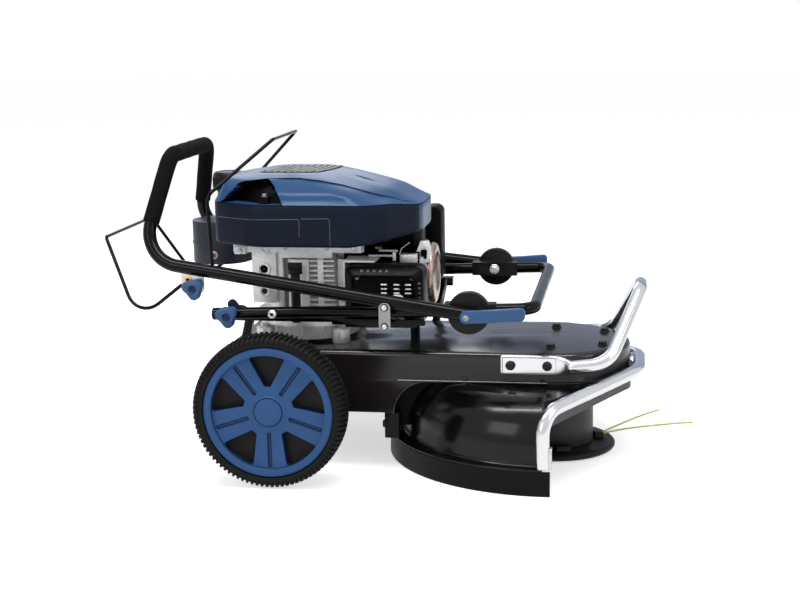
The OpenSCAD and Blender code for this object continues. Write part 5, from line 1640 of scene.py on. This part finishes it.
@dataclass
class Engine(Assembly):
    """The upright-shaft engine under the fan housing: tank, casting, cylinder and exhaust."""

    x: float = 10.0
    barrel_z: float = 303.0
    head_x: tuple = (196, 212)
    head_half: tuple = (56, 52)
    tank: tuple = (-162, 55)
    neck: tuple = (-148, 66)
    guard_x: tuple = (99, 230)
    guard_y: tuple = (92, 148)
    guard_z: tuple = (235, 336)

    def build(self) -> None:
        """Builds the engine's pieces."""
        self._tank()
        self._exhaust()
        self._casting_details()
        self._head()
        self._linkage()
        # The barrel is black as painted shade under the housing
        plain = (
            ("sump_base", CASTING, 0.9), ("crankcase", CASTING, 1.1), ("cylinder_barrel", HEAT_BLACK_AND_SHADE, 0.5),
            ("spark_plug", PLASTIC_BLACK, 0.8), ("carburettor", CASTING, 1.2),
            ("dipstick_tube", PLASTIC_BLACK, 0.6), ("dipstick_cap", PLASTIC_BLACK, 0.8),
            ("muffler", BARE_STEEL, 1))
        for node, finish, bevel in plain:
            self.refine(node, finish, bevel)
        self._filter()
        self._valve_cover()
        hidden = {"crankshaft": BARE_STEEL, "flywheel": IRON, "drive_pulley": BARE_STEEL,
                  "starter_pulley": WHITE_TAP}
        for node, finish in hidden.items():
            self.keep(node, finish)

    def _tank(self) -> None:
        """The fuel tank with its moulded seam, its ribbed cap and its tap."""
        self.refine("fuel_tank", TANK_BLUE, 3)
        seam = [(51, 345), (53.2, 346), (53.2, 349), (51, 350)]
        where = Matrix.Translation((*self.tank, 0))
        self.form(Form("tank_seam").lathe(seam, where, 72, 100, 160), TANK_BLUE)
        where = Matrix.Translation((*self.neck, 0))
        cap = Form("fuel_cap_moulding")
        cap.lathe([(AXIS, 438), (27.5, 438), (28.6, 439), (29, 462), (28, 466.5), (25, 469.6), (20, 470.6),
                   (18, 470.8), (17, 469.8), (AXIS, 469.8)], where, 72)
        levels = ((441, 29.2), (443, 30), (458, 30), (461.5, 29.2))
        rib = Form("cap_rib").loft(
            [[(28.2, -1.1, z), (s, -0.7, z), (s, 0.7, z), (28.2, 1.1, z)] for z, s in levels])
        ribs = self.repeat(Repeat.ring(), rib, {"Count": 36, "Start": 0.0}, PLASTIC_BLACK, where)
        self.merged("fuel_cap_dressed", [cap.dressed(PLASTIC_BLACK), ribs], PLASTIC_BLACK, "fuel_cap",
                    body="fuel_cap")
        tap = facing((-163, 3.6, 329), (0, -1, 0))
        white = Form("tap_ring").lathe([(AXIS, -1), (7, -1), (7, 4), (5.5, 6), (AXIS, 6)], tap, 28)
        red = Form("tap_handle").lathe(
            [(AXIS, 5.5), (4.2, 5.5), (4.2, 9), (3.2, 10.5), (AXIS, 10.5)], tap, 24)
        self.merged("fuel_tap", [white.dressed(WHITE_TAP), red.dressed(RED_TAP)], WHITE_TAP)

    def _filter(self) -> None:
        """The air filter's housing, with a tall rounded front end."""
        outline = bent([(118, 320, 0), (118, 272, 0), (227, 272, 0), (227, 402.8, 0), (199, 402.8, 0),
                        (185, 366, 0), (118, 366, 0), (118, 320, 0)], [5, 5, 13, 13, 5, 5], 8)
        middle = Vector((172, 325, 0))
        rim = [(p, (p - middle).normalized()) for p in outline[:-1]]
        levels = ((6, 106.2), (1.5, 107.6), (0, 111), (0, 155), (1.5, 158.4), (6, 159.8))
        loops = [[(p.x - n.x * inset, y, p.y - n.y * inset) for p, n in rim] for inset, y in levels]
        self.form(Form("air_filter_housing").loft(loops), GLOSS_BLACK, "air_filter_box", angle=40)

    def _exhaust(self) -> None:
        """The pressed guard over the exhaust: a bevel, a sunk face with louvres, slots and the outlet."""
        (x0, x1), (y0, y1), (z0, z1) = self.guard_x, self.guard_y, self.guard_z
        loops = []
        bevel = ((0, y1 - 15), (2.5, y1 - 10), (10.5, y1 - 1.5), (12.5, y1), (14.5, y1), (16.5, y1 - 4))
        for inset, y in ((0, y0), *bevel):
            outline = soft_box((x1 - x0) / 2 - inset, (z1 - z0) / 2 - inset, 0.2)
            loops.append([((x0 + x1) / 2 + u, -y, (z0 + z1) / 2 + v) for u, v in outline])
        self.form(Form("exhaust_guard").loft(loops), HEAT_BLACK_AND_SHADE, "muffler_guard", angle=28)
        section = ((0.4, 0), (-2.6, 0.2), (-3.2, 0.8), (-2.8, 1.8), (-1.2, 3.2), (0.4, 3.8))
        ends = ((-6.5, 0.15), (-4.5, 1), (4.5, 1), (6.5, 0.15))
        hood = Form("louvre").loft([[(x, dy * size, dz * size) for dy, dz in section] for x, size in ends])
        spots = [(x, 4.2 - y1, z) for x in (166, 187, 206) for z in (292, 299, 306)]
        rows = [self.scatter("louvres", hood, spots, LEVEL, BARE_STEEL)]
        tick = Form("slot").box((-2, -1.6, -1.6), (2, 1.6, 1.6))
        spots = [(129 + 10.4 * k, 6 - y1, z1 - 6.2) for k in range(5)]
        spots += [(x1 - 6.2, 6 - y1, 270 + 8 * k) for k in range(6)]
        rows.append(self.scatter("slots", tick, spots, LEVEL, BARE_STEEL))
        ear = Form("outlet").box((107, 8.5 - y1, 280), (109, 10 - y1, 312))
        where = facing((188, 4 - y1, 279), (0, -1, 0))
        ear.lathe([(5, 0), (13, 0), (13, 1.2), (9, 2.6), (8.4, 8), (7.2, 8), (5, 4)], where, 40)
        rows.append(ear.dressed(CASTING))
        self.merged("exhaust_louvres", rows, BARE_STEEL)
        shield = Form("heat_shield")
        shield.box((93, -116, 262), (95.5, -64, 342)).box((93, -116, 338.5), (146, -64, 342))
        self.form(shield, CASTING, bevel=0.6)

    def _head(self) -> None:
        """The bare cylinder head with its eye, in front of the barrel that is black as painted shade, and
        black sheets as painted shade behind the eye and over the head.
        """
        outline = soft_box(self.head_half[0] + 0.6, self.head_half[1] + 0.6, 0.5)
        ends = (self.head_x[0] - 0.5, self.head_x[1] + 0.3)
        head = Form("cylinder_head").loft([[(x, y, self.barrel_z + z) for y, z in outline] for x in ends])
        head.box((180, -68, 331), (209, -46, 345))
        eye = [(203, 338), (213, 366), (224, 366), (231, 357), (228, 330), (206, 324)]
        hole = [(211, 336), (213, 350), (221, 352), (224.5, 349), (223.5, 335), (214, 333)]
        ring = ((eye, -44), (eye, -54), (hole, -54), (hole, -44))
        head.loft([[(x, y, z) for x, z in points] for points, y in ring], closed=True)
        self.form(head, CASTING, bevel=1.4)
        # Black sheets behind the eye's hole and in the gap under the housing: painted shade
        head_shade = Form("cylinder_cowl").box((208, -44, 330), (227, -42, 355))
        head_shade.prism([(86, 340), (212, 340), (212, 382), (112, 367), (86, 367)], -14, 14, UPRIGHT)
        self.form(head_shade, NICHE_AND_SHADE_BLACK)

    def _linkage(self) -> None:
        """The governor's rods, lever and spring above the exhaust guard."""
        rods = Form("governor_rods")
        rods.sweep([(146, -76, 353), (178, -74, 352)], 2, 8, 0.3)
        rods.sweep([(130, -82, 345), (176, -82, 345)], 2, 8, 0.3)
        rods.sweep(bent([(180, -70, 345), (184, -70, 356), (198, -70, 366)], [6], 6), 0.9, 8, 0.2)
        rods.box((171, -84, 337), (176, -80, 351)).box((112, -80, 350), (121, -74, 363))
        self.form(rods, CASTING, bevel=0.5)
        spring = []
        for k in range(60):
            a = 2 * pi * k / 10
            spring.append((140 + 0.19 * k, -72 + 3 * cos(a), 357 + 3 * sin(a)))
        self.form(Form("governor_spring").sweep(spring, 0.7, 6, 0.1), YELLOW_ZINC, angle=60)

    def _valve_cover(self) -> None:
        """The valve cover on the cylinder's end: a bare flange and a plated pressing."""
        where = facing((self.head_x[1], 0, self.barrel_z), (1, 0, 0))
        foot = [(AXIS, 0), (56, 0), (56, 4.5), (55, 6), (51, 6), (50, 12), (AXIS, 12)]
        dome = [(51, 11), (52.5, 12.5), (52.5, 17), (50, 20.6), (45, 22), (30, 22), (28, 20.6)]
        flange = Form("valve_flange").lathe(foot, where, 96)
        cap = Form("valve_cap").lathe([(AXIS, 11), *dome, (AXIS, 20.2)], where, 96)
        turns = [radians(45 + 90 * k) for k in range(4)]
        ring = [(self.head_x[1] + 6, 53 * cos(a), self.barrel_z + 53 * sin(a)) for a in turns]
        bolt = hex_bolt("valve_bolt", 3.6, 3.4)
        bolts = self.scatter("valve_cover_bolts", bolt, ring, turn_to((1, 0, 0)), ZINC)
        meshes = [cap.dressed(YELLOW_ZINC), flange.dressed(CASTING), bolts]
        self.merged("valve_cover_pressing", meshes, YELLOW_ZINC, "valve_cover", angle=50)

    def _casting_details(self) -> None:
        """Blocks, cooling ribs and bolts on the right side of the crankcase and its flange."""
        blocks = Form("crankcase_blocks")
        blocks.box((-20, -96, 342), (70, -78, 367))
        blocks.box((-72, -82, 262), (-30, -58, 352))
        blocks.box((-98, -97, 348), (-78, -80, 360))
        # Grey boxes behind the ribs and left of the dipstick: painted shade between the bright casting's
        # parts
        rib_shade = Form("rib_ground").box((24, -70, 240), (72, -60, 350))
        rib_shade.box((-29, -66, 250), (-8, -60, 340))
        self.form(rib_shade, GRILLE_GREY)
        for x, z, r in ((-45, 357, 9), (-51, 320, 12), (-51, 282, 10)):
            where = facing((x, -82, z), (0, -1, 0))
            depth = 14 if z > 340 else 4
            edge = [(r, depth - 1), (r - 1, depth), (r - 4, depth), (r - 4.6, depth - 4)]
            blocks.lathe([(AXIS, -4), (r, -4), *edge, (AXIS, depth - 4)], where, 32)
        self.form(blocks, CASTING, bevel=1.6)
        ends = ((-23, 3), (-21, 7), (21, 7), (23, 3))
        rib = Form("case_rib").loft(
            [[(x, -0.2, -2), (x, -d, -1.3), (x, -d, 1.3), (x, -0.2, 2)] for x, d in ends])
        values = {"Count": 12, "Step": (0.0, 0.0, 8.4), "Taper": 0.0}
        ribs = self.repeat(Repeat.row(), rib, values, CASTING, Matrix.Translation((48, -69.5, 250)))
        ribs.name = "crankcase_ribs"
        self.piece(ribs, CASTING)
        near = turn_to((0, -1, 0))
        face = [(-88, -97, 354), (-12, -96, 361), (62, -96, 361), (108, -94, 360)]
        bolts = [self.scatter("flange", hex_bolt("flange_bolt", 4.6, 3.6, 6, 1), face, near, ZINC)]
        turns = [radians(45 + 90 * k) for k in range(4)]
        feet = [(self.x + 94 * cos(a), 94 * sin(a), 217) for a in turns]
        bolts.append(self.scatter("feet", hex_bolt("foot_bolt", 8, 6, 10), feet, LEVEL, ZINC))
        self.merged("casting_bolts", bolts, ZINC)


@dataclass
class Drive(Assembly):
    """The belt drive and the trimmer head."""

    spindle_x: float = 434.0
    engine_x: float = 10.0
    driven_r: float = 52.0
    drive_r: float = 36.0
    belt_z: float = 162.0
    line_r: float = 1.5
    clip_r: float = 86.0
    clip_angle: float = 15.0
    line_z: float = 20.0
    spread: float = 4.0
    stub: float = 4.0
    route_a: tuple = ((102, 54, 21), (122, 88, 21), (142, 122, 21), (162, 155, 20), (182, 188, 18))
    route_b: tuple = ((117, 40, 21), (148, 59, 21), (179, 77, 20), (210, 95, 19), (240, 112, 17))

    def lines(self) -> None:
        """The two ends of the cutting line, swept as strands on the cutter."""
        ends = (("trim_line_a", self.spread, self.route_a), ("trim_line_b", -self.spread, self.route_b))
        for name, across, route in ends:
            start = [self._exit(0, across), self._exit(self.stub, across)]
            path = flowing([*start, *route], 5)
            path = [p + Vector((self.spindle_x, 0, 0)) for p in path]
            strand = Form(name + "_strand").sweep(path, self.line_r, 10, 0.3)
            piece = self.form(strand, LINE_NYLON, name, body="cutter")

    def _exit(self, out: float, across: float) -> tuple[float, float, float]:
        """A point off the clip's outer face, where a line leaves it.

        Args:
            out: Distance from the clip's face.
            across: Distance to its side.

        Returns:
            The point.
        """
        a = radians(self.clip_angle)
        r = self.clip_r + out
        return (r * cos(a) - across * sin(a), r * sin(a) + across * cos(a), self.line_z)

    def build(self) -> None:
        """Builds the drive's other pieces."""
        self._belt()
        self._head()
        plain = {"spindle": BARE_STEEL, "driven_pulley": BARE_STEEL, "idler_arm": ZINC,
                 "idler_pulley": PLASTIC_BLACK}
        for node, finish in plain.items():
            self.refine(node, finish, 0.6)

    def _belt(self) -> None:
        """The wedge belt round the two pulleys."""
        lean = asin((self.driven_r - self.drive_r) / (self.spindle_x - self.engine_x))
        side = pi / 2 + lean
        loops = []
        steps = 40
        section = ((0.1, 2.4), (0.1, -2.4), (5.6, -1.6), (6.4, -0.8), (6.4, 0.8), (5.6, 1.6))
        arcs = (
            (self.spindle_x, self.driven_r, -side, side), (self.engine_x, self.drive_r, side, 2 * pi - side))
        for x, r, a0, a1 in arcs:
            for k in range(steps + 1):
                a = a0 + (a1 - a0) * k / steps
                c, s = cos(a), sin(a)
                loops.append([(x + (r - d) * c, (r - d) * s, self.belt_z + h) for d, h in section])
        self.form(Form("drive_belt_loop").loft(loops, caps=False, closed=True), BELT_RUBBER, "drive_belt")

    def _head(self) -> None:
        """The head's drum and its bottom disc."""
        self.refine("head_drum", DRUM_GREY, 2)
        self.refine("head_disc", PLASTIC_BLACK, 1.2)


@dataclass
class Handle(Assembly):
    """The folded handle: two bent tubes, the folding joint, the grip, the knobs and the wire bails."""

    fold_x: float = 314.0
    fold_z: float = 277.757
    pivot_x: float = -8.0
    pivot_z: float = 268.0
    slope: float = 0.0303
    lower_y: float = 195.0
    lower_r: float = 10.0
    upper_y: float = 234.5
    upper_r: float = 11.0
    tip: float = 13.0
    knee: tuple = (-238, -172, 349.5)
    corner: tuple = (-199, -108, 516)
    grip_start: float = 0.35
    grip_r: float = 14.0
    wire_r: float = 3.0
    bracket_y: float = 182.98
    disc_r: float = 33.5
    tail_x: float = -80.0
    knob_x: float = -141.0
    knob_z: float = 307.0
    front_x: float = -115.0
    rear_x: float = -154.0
    rear_z: float = 319.0

    def build(self) -> None:
        """Builds the handle's pieces."""
        self._tubes()
        self._grip()
        self._joints()
        self._knobs()
        self._bails()

    def _leg(self, x: float) -> Vector:
        """The middle of the upper handle's right leg at a place along X.

        Args:
            x: The place.

        Returns:
            The point.
        """
        end = Vector((self.fold_x, -self.upper_y, self.fold_z))
        knee = Vector(self.knee)
        return end + (knee - end) * (x - self.fold_x) / (knee.x - self.fold_x)

    def _tubes(self) -> None:
        """The lower and the upper handle tube."""
        ends = (-110, self.fold_x + 101)
        low = [(x, -self.lower_y, self.pivot_z + (x - self.pivot_x) * self.slope) for x in ends]
        tube = Form("lower_handle_tube").sweep(bent(hoop(low), [28, 28], 14), self.lower_r, 28)
        self.form(tube, TUBE_BLACK, "lower_handle", body="lower")
        end = self._leg(self.fold_x)
        way = (Vector(self.knee) - end).normalized()
        path = bent(hoop([end - way * self.tip, self.knee, self.corner]), [62, 32, 32, 62], 16)
        tube = Form("upper_handle_tube").sweep(path, self.upper_r, 28)
        self.form(tube, TUBE_BLACK, "upper_handle", body="upper")

    def _grip(self) -> None:
        """The foam sleeve on the handle's crossbar."""
        knee, corner = Vector(self.knee), Vector(self.corner)
        start = knee.lerp(corner, self.grip_start)
        coarse = bent(hoop([start, corner]), [32, 32], 14)
        path = []
        for a, b in zip(coarse, coarse[1:]):
            steps = max(int((b - a).length / 6), 1)
            path += [a.lerp(b, k / steps) for k in range(steps)]
        path.append(coarse[-1])
        sleeve = Form("grip_sleeve").sweep(path, self.grip_r - 0.2, 28, 2.2)
        sleeve.bm.normal_update()
        for vert in sleeve.bm.verts:
            wave = sin(vert.co.y * 0.13) * cos(vert.co.z * 0.11 + vert.co.x * 0.07)
            vert.co += vert.normal * (0.25 * wave)
        piece = self.form(sleeve, FOAM, "foam_grip", body="upper", angle=60)

    def _joints(self) -> None:
        """The folding joint's sleeves, ridged discs and cam levers."""
        self.refine("pivot_sleeves", PLASTIC_BLACK, 1.5)
        self.refine("pivot_discs", PLASTIC_BLACK, 1.5)
        for side in Side:
            for body, foot in (("lower", 207), ("upper", 215.5)):
                where = side.outward(self.fold_x, foot, self.fold_z)
                values = {"Count": 48, "Start": 0.0}
                mesh = self.repeat(Repeat.ring(), self._ridge(), values, PLASTIC_BLACK, where)
                mesh.name = f"{side.word}_{body}_disc_ridges"
                self.piece(mesh, PLASTIC_BLACK, body=body)
            self._lever(side)

    def _ridge(self) -> Form:
        """One ridge on the edge of a disc."""
        section = ((-1.4, -0.8), (0.6, -0.5), (0.6, 0.5), (-1.4, 0.8))
        return Form("disc_ridge").loft([[(self.disc_r + d, y, z) for d, y in section] for z in (1.4, 6.6)])

    def _lever(self, side: Side) -> None:
        """One cam lever with its stud and bolts.

        Args:
            side: The side of the machine.
        """
        name = f"lever_{side.word}"
        body = f"lever_{side.letter}"
        corners = [(30, -8, 0), (-9.5, -10, 0), (-9.5, 10, 0), (40, 12.5, 0), (91.5, 16.5, 0), (92, -4.5, 0),
                   (60, -5.5, 0), (30, -8, 0)]
        outline = [
            (self.fold_x + p.x, self.fold_z + p.y) for p in bent(corners, [9, 9, 60, 7, 8, 60], 8)[:-1]]
        y0, y1 = sorted((side.value * 248, side.value * 258.8))
        lever = Form(name + "_cam").prism(outline, y0, y1, UPRIGHT)
        lever.rod(4, 0, 64, side.outward(self.fold_x, 186, self.fold_z), 24)
        self.form(lever, KNOB_BLUE, name, body=body, bevel=2)
        head = hex_bolt("lever_bolt", 3.6, 2.4, 5.2, 0.8)
        spot = (self.fold_x, side.value * 258.6, self.fold_z)
        bolt = self.scatter(name + "_bolt", head, [spot], turn_to((0, side.value, 0)), BARE_STEEL)
        self.piece(bolt, BARE_STEEL, body=body)
        spot = (self.fold_x, side.value * 183, self.fold_z)
        inner = turn_to((0, -side.value, 0))
        nut = self.scatter(name + "_nut", hex_bolt("lever_nut", 7, 5, 9), [spot], inner, ZINC)
        self.piece(nut, ZINC, body="lower")

    def _knobs(self) -> None:
        """The three-lobed knobs behind the lower handle and under the bail brackets."""
        self.refine("bail_brackets", ZINC, 0.8)
        tail_z = self.pivot_z + (self.tail_x - self.pivot_x) * self.slope
        tail = ("tail_knob", self.tail_x, 206, tail_z, 20)
        bail = ("bail_knob", self.knob_x, self.bracket_y + 3, self.knob_z, 5)
        for side in Side:
            for name, x, face, z, stud in (tail, bail):
                body = f"{name}_{side.letter}"
                node = f"{name}_{side.word}"
                knob = self._knob(node + "_grip", side, (x, face, z), stud)
                self.form(knob, KNOB_BLUE, node, body=body, bevel=3)
                out = side.outward(x, face + 20, z)
                boss = Form(node + "_boss")
                boss.lathe([(AXIS, -1), (7, -1), (6.4, 0.9), (5.4, 1.2), (4.6, 0.4), (AXIS, 0.4)], out, 28)
                self.form(boss, KNOB_NAVY, body=body)
        washers = Form("bail_bracket_washers")
        for side in Side:
            out = side.outward(self.rear_x, self.bracket_y + 2, self.rear_z)
            washers.lathe([(3.2, 0), (7.5, 0), (7.5, 1.2), (3.2, 1.2)], out, 28)
            out = facing((self.rear_x, side.value * (self.bracket_y - 2), self.rear_z), (0, -side.value, 0))
            washers.lathe([(3.2, 0), (6, 0), (6, 0.4), (3.2, 0.4)], out, 28)
        self.form(washers, BRASS, body="upper")

    @staticmethod
    def _knob(name: str, side: Side, place: Point, stud: float) -> Form:
        """One three-lobed knob with its collar and stud.

        Args:
            name: The piece's name.
            side: The side of the machine.
            place: Its axis, with its seat's distance from the middle plane as the second number.
            stud: Length of the stud behind the seat.

        Returns:
            The knob's form.
        """
        x, face, z = place
        outline = []
        for step in range(60):
            angle = tau * step / 60
            reach = 16 + 3 * cos(3 * angle + 4.1)
            outline.append((x + reach * cos(angle), z + reach * sin(angle)))
        y0, y1 = sorted((side.value * (face + 4), side.value * (face + 20)))
        seat = side.outward(x, face, z)
        knob = Form(name).prism(outline, y0, y1, UPRIGHT)
        for radius, low, high in ((9, 0, 5), (4, -stud, 1)):
            knob.rod(radius, low, high, seat, 32)
        return knob

    def _bails(self) -> None:
        """The front and the rear wire bail."""
        eye = self.wire_r + 1
        x, front = self.front_x, self._leg(self.front_x)
        inner = -front.y - self.upper_r - eye - 0.5
        path = hoop(
            [(x, -inner - eye - 6, front.z), (x, -inner, front.z), (-121, -167, 455), (-28, -85, 540)])
        wire = Form("front_bail_wire").sweep(bent(path, [eye, 24, 9, 9, 24, eye], 10), self.wire_r, 14)
        self.form(wire, TUBE_BLACK, "front_bail", body="front_bail")
        inner = self.bracket_y - 2 - eye - 0.5
        x, z = self.rear_x, self.rear_z
        path = hoop([(x, -inner - eye - 6, z), (x, -inner, z), (-246, -inner, 248), (-315, -120, 379)])
        wire = Form("rear_bail_wire").sweep(bent(path, [eye, 40, 9, 9, 40, eye], 10), self.wire_r, 14)
        self.form(wire, TUBE_BLACK, "rear_bail", body="rear_bail")


@dataclass
class Studio:
    """The camera at the photograph's angle, a pale floor and soft light."""

    yaw: float = 0.1662
    rise: float = 0.1935
    roll: float = -0.0176
    distance: float = 2612.95
    focal_px: float = 1505.84
    frame_px: float = 800.0
    sensor: float = 36.0
    target: tuple = (168, 0, 253.7)

    def camera(self) -> None:
        """Sets the scene's camera."""
        back = Vector((sin(self.yaw) * cos(self.rise), -cos(self.yaw) * cos(self.rise), sin(self.rise)))
        level = Vector((cos(self.yaw), sin(self.yaw), 0))
        plumb = back.cross(level)
        right = level * cos(self.roll) + plumb * sin(self.roll)
        up = plumb * cos(self.roll) - level * sin(self.roll)
        spot = (Vector(self.target) + back * self.distance - Vector((CENTRE_X, 0, 0))) * MM
        data = bpy.data.cameras.new("camera")
        data.sensor_width = self.sensor
        data.lens = self.sensor * self.focal_px / self.frame_px
        data.clip_end = 100
        obj = placed("camera", data)
        obj.matrix_world = Matrix.Translation(spot) @ Matrix((right, up, back)).transposed().to_4x4()
        bpy.context.scene.camera = obj

    def build(self) -> None:
        """Makes the floor, the world and the lamps."""
        self._floor()
        self._panels()
        self._world()
        lamps = (("top_softbox", (0, -0.75, 2.4), (0, 0, 0.2), (2.4, 0.2), 32),
                 ("front_softbox", (-1.5, -2.6, 1.5), (0, 0, 0.25), (1.2, 1.2), 16),
                 ("right_softbox", (2.2, -1, 1.3), (0.1, 0, 0.2), (1, 1), 8),
                 ("rear_softbox", (-0.8, 2.4, 1.6), (0, 0, 0.3), (1.4, 1.4), 12))
        for name, place, aim, size, power in lamps:
            self._lamp(name, Vector(place), Vector(aim), size, power)
        bpy.context.scene.view_settings.view_transform = "Standard"

    @staticmethod
    def _lamp(name: str, place: Vector, aim: Vector, size: Point, power: float) -> None:
        """Adds one soft lamp.

        Args:
            name: The lamp's name.
            place: Where it is, in metres.
            aim: Where it looks.
            size: Its width and height.
            power: Its power in watts.
        """
        data = bpy.data.lights.new(name, "AREA")
        data.shape = "RECTANGLE"
        data.size, data.size_y = size
        data.energy = power
        obj = placed(name, data)
        obj.location = place
        obj.rotation_euler = (aim - place).to_track_quat("-Z", "Y").to_euler()

    @staticmethod
    def _seen(sheet: Sheet) -> Signal:
        """1 for rays that show the background itself, on glossy and clear surfaces too.

        Args:
            sheet: The sheet that the nodes go on.

        Returns:
            The signal.
        """
        path = sheet.node("ShaderNodeLightPath")
        camera, glossy, clear = (
            sheet.out(path, f"Is {kind} Ray") for kind in ("Camera", "Glossy", "Transmission"))
        total = camera + glossy + clear
        return sheet.out(sheet.node("ShaderNodeMath", {"operation": "MINIMUM"}, {0: total, 1: 1}))

    def _floor(self) -> None:
        """The pale floor, which is white to the camera and keeps the object's shadow."""
        mesh = bpy.data.meshes.new("studio_floor")
        reach = 14
        corners = [(x * reach, y * reach, -0.0005) for x, y in ((-1, -1), (1, -1), (1, 1), (-1, 1))]
        mesh.from_pydata(corners, [], [(0, 1, 2, 3)])
        floor = placed("studio_floor", mesh)
        material = bpy.data.materials.new("studio_floor")
        material.use_nodes = True
        sheet = Sheet(material.node_tree)
        matt = sheet.node("ShaderNodeBsdfDiffuse", {}, {"Color": (0.92, 0.92, 0.92, 1)})
        glow = sheet.node(
            "ShaderNodeEmission", {}, {"Color": (1, 1, 1, 1), "Strength": self._seen(sheet) * 0.62})
        both = sheet.node("ShaderNodeAddShader", {}, {0: sheet.out(matt), 1: sheet.out(glow)})
        sheet.node("ShaderNodeOutputMaterial", {}, {"Surface": sheet.out(both)})
        mesh.materials.append(material)

    def _mirrored(self, form: Form, colour: Point, strength: float) -> None:
        """A glowing panel of the studio, which only shiny surfaces see.

        Args:
            form: The panel's shape.
            colour: Its colour.
            strength: How bright it is.
        """
        name = form.name
        panel = placed(name, form.mesh())
        material = bpy.data.materials.new(name)
        material.use_nodes = True
        sheet = Sheet(material.node_tree)
        glow = sheet.node("ShaderNodeEmission", {}, {"Color": (*colour, 1), "Strength": strength})
        sheet.node("ShaderNodeOutputMaterial", {}, {"Surface": sheet.out(glow)})
        panel.data.materials.append(material)
        for kind in ("camera", "diffuse", "shadow", "transmission"):
            setattr(panel, "visible_" + kind, False)

    def _panels(self) -> None:
        """The studio's grey far wall and the bright strip above."""
        profile = [(4000, 0), (4100, 0), (4100, 4000), (4000, 4000)]
        wall = Form("studio_wall").lathe(profile, LEVEL, 48, 38, 104)
        self._mirrored(wall, (0.44, 0.50, 0.62), 1)
        strip = Form("studio_strip").box((-1300, -1100, 2500), (1300, -350, 2510))
        self._mirrored(strip, (1, 1, 1), 7)

    def _world(self) -> None:
        """An even world, white where it is seen."""
        world = bpy.data.worlds.new("studio_world")
        bpy.context.scene.world = world
        world.use_nodes = True
        sheet = Sheet(world.node_tree)
        light = sheet.node(
            "ShaderNodeBackground", {}, {"Color": (1, 1, 1, 1), "Strength": self._seen(sheet) * 0.6 + 0.4})
        sheet.node("ShaderNodeOutputWorld", {}, {"Surface": sheet.out(light)})


def clear_scene() -> None:
    """Removes what the start file holds."""
    for obj in list(bpy.data.objects):
        bpy.data.objects.remove(obj)


def main() -> None:
    """Builds every sub-assembly in order."""
    logging.basicConfig(level=logging.INFO, format="%(message)s")
    clear_scene()
    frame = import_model()
    studio = Studio()
    studio.camera()
    drive = Drive(frame)
    drive.lines()
    wheels = [Wheel(frame, side) for side in Side]
    for part in (Chassis(frame), Cover(frame), Engine(frame), drive, Handle(frame), *wheels):
        part.build()
    studio.build()


if __name__ == "__main__":
    main()
